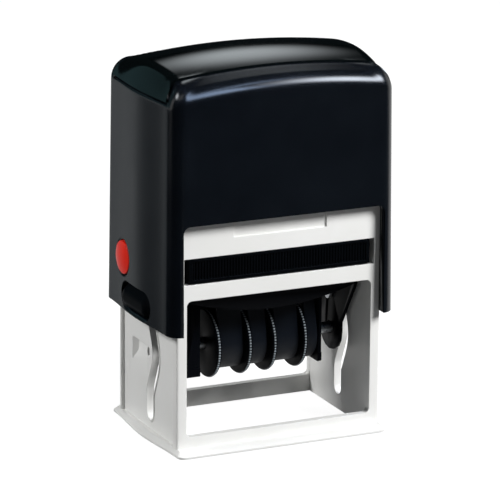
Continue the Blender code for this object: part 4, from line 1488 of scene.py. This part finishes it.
# Flags keep the black faces as dark as in a photographer's tent
flags = {
    "frontFlag": {"low": (-404, -264, 0), "high": (700, -260, 420), "colour": "000000"},
    "frontFloorFlag": {"low": (-34, -260, 1), "high": (500, -60, 2), "colour": "4C545C"},
    "leftFlag": {"low": (-404, -264, 0), "high": (-400, 30, 500), "colour": "000000"},
    "rearFlag": {"low": (-250, 700, 0), "high": (1300, 704, 900), "colour": "0C1012"},
    "rearLeftFlag": {"low": (-1300, 700, 0), "high": (-250, 704, 900), "colour": "4C686C"},
    "roofFlag": {"low": (-1300, -264, 900), "high": (1300, 704, 904), "colour": "000000"},
}
# Fans of floor cloth give the casing's left side its light rear edge and dark front edge
fans = {
    "rearFan": {"turns": (-2, -17), "colour": "868A8C"},
    "brightFan": {"turns": (-17, -26), "colour": "ACB0B2"},
    "middleFan": {"turns": (-26, -30), "colour": "707476"},
    "darkFan": {"turns": (-30, -40), "colour": "484C4E"},
    "cornerFan": {"turns": (-40, -110), "colour": "000000"},
    "frontLeftFan": {"turns": (-110, -178), "colour": "000000"},
}
fanRoot = (-35, 0)
fanReach = 700
fanLow = 1
fanHigh = 2
cloths = {}
for name, flag in flags.items():
    (xLow, yLow, zLow), (xHigh, yHigh, zHigh) = flag["low"], flag["high"]
    cloths[name] = (block(name, xLow, xHigh, yLow, yHigh, zLow, zHigh), flag["colour"])
for name, fan in fans.items():
    outline = [fanRoot]
    for turn in fan["turns"]:
        away = math.radians(turn)
        x = fanRoot[0] + fanReach * math.sin(away)
        y = fanRoot[1] + fanReach * math.cos(away)
        outline.append((x, y))
    cloths[name] = (pushed(name, outline, "z", fanLow, fanHigh), fan["colour"])
for name, (mesh, colour) in cloths.items():
    made = asObject(name, mesh)
    cloth = emptyMaterial(name)
    tree = cloth.node_tree
    plain = addNode(tree, "ShaderNodeEmission", {"Color": toLinear(colour), "Strength": 1.0})
    addNode(tree, "ShaderNodeOutputMaterial", links={"Surface": plain.outputs["Emission"]})
    made.data.materials.append(cloth)
    reflectedOnly(made)

# Soft-edged cards: they fade out from the middle
cards = {
    "capCard": {
        "place": (244, 501, 441),
        "aim": (0, 0, 106),
        "size": (310, 420),
        "colour": "E8F0F4",
        "glow": 2.3,
    },
    "rollCard": {
        "place": (102, -131, 252),
        "aim": (20, -22, 102),
        "size": (300, 230),
        "colour": "B4CCF0",
        "glow": 24.0,
    },
    "cornerCard": {
        "place": (67, -71, 168),
        "aim": (30, -22, 102),
        "size": (90, 84),
        "colour": "E4ECF8",
        "glow": 30.0,
    },
    "ballCard": {
        "place": (-215, -20, 330),
        "aim": (-33, -21, 100),
        "size": (200, 200),
        "colour": "F0F4F8",
        "glow": 16.0,
    },
}
cardThickness = 2
for name, card in cards.items():
    finish = emptyMaterial(name)
    tree = finish.node_tree
    place = addNode(tree, "ShaderNodeTexCoord").outputs["Object"]
    width, height = card["size"]
    spread = addNode(tree, "ShaderNodeVectorMath", {
        "operation": "MULTIPLY",
        1: (2 / (width * mm), 2 / (height * mm), 0.0),
    }, {0: place})
    reach = addNode(tree, "ShaderNodeVectorMath", {"operation": "LENGTH"}, {
        0: spread.outputs["Vector"],
    })
    fade = addNode(tree, "ShaderNodeMapRange", {
        "interpolation_type": "SMOOTHERSTEP",
        "From Min": 1.0,
        "From Max": 0.0,
        "To Min": 0.0,
        "To Max": card["glow"],
    }, {"Value": reach.outputs["Value"]})
    glow = addNode(tree, "ShaderNodeEmission", {"Color": toLinear(card["colour"])}, {
        "Strength": fade.outputs["Result"],
    })
    addNode(tree, "ShaderNodeOutputMaterial", links={"Surface": glow.outputs["Emission"]})
    sheet = block(name, -width / 2, width / 2, -height / 2, height / 2, -cardThickness, 0)
    made = asObject(name, sheet)
    made.data.materials.append(finish)
    made.location = Vector(card["place"]) * mm
    away = (Vector(card["place"]) - Vector(card["aim"])).normalized()
    made.rotation_euler = away.to_track_quat("Z", "Y").to_euler()
    reflectedOnly(made)

# Lamps: a key from the front right and a fill from the rear left, both unseen in reflections
lampAim = (0, 0, 50)
lamps = {
    "keySoftbox": {"place": (420, -620, 620), "size": (350, 350), "watts": 12.3},
    "rearLeftFill": {"place": (-530, 190, 400), "size": (160, 160), "watts": 3.05},
}
for name, lamp in lamps.items():
    light = bpy.data.lights.new(name, "AREA")
    light.shape = "RECTANGLE"
    light.size = lamp["size"][0] * mm
    light.size_y = lamp["size"][1] * mm
    light.energy = lamp["watts"]
    holder = bpy.data.objects.new(name, light)
    holder.location = Vector(lamp["place"]) * mm
    towards = (Vector(lampAim) - Vector(lamp["place"])).normalized()
    holder.rotation_euler = towards.to_track_quat("-Z", "Y").to_euler()
    holder.visible_glossy = False
    scene.collection.objects.link(holder)
scene.view_settings.view_transform = "Standard"
print("stage: camera, floor and lamps set")
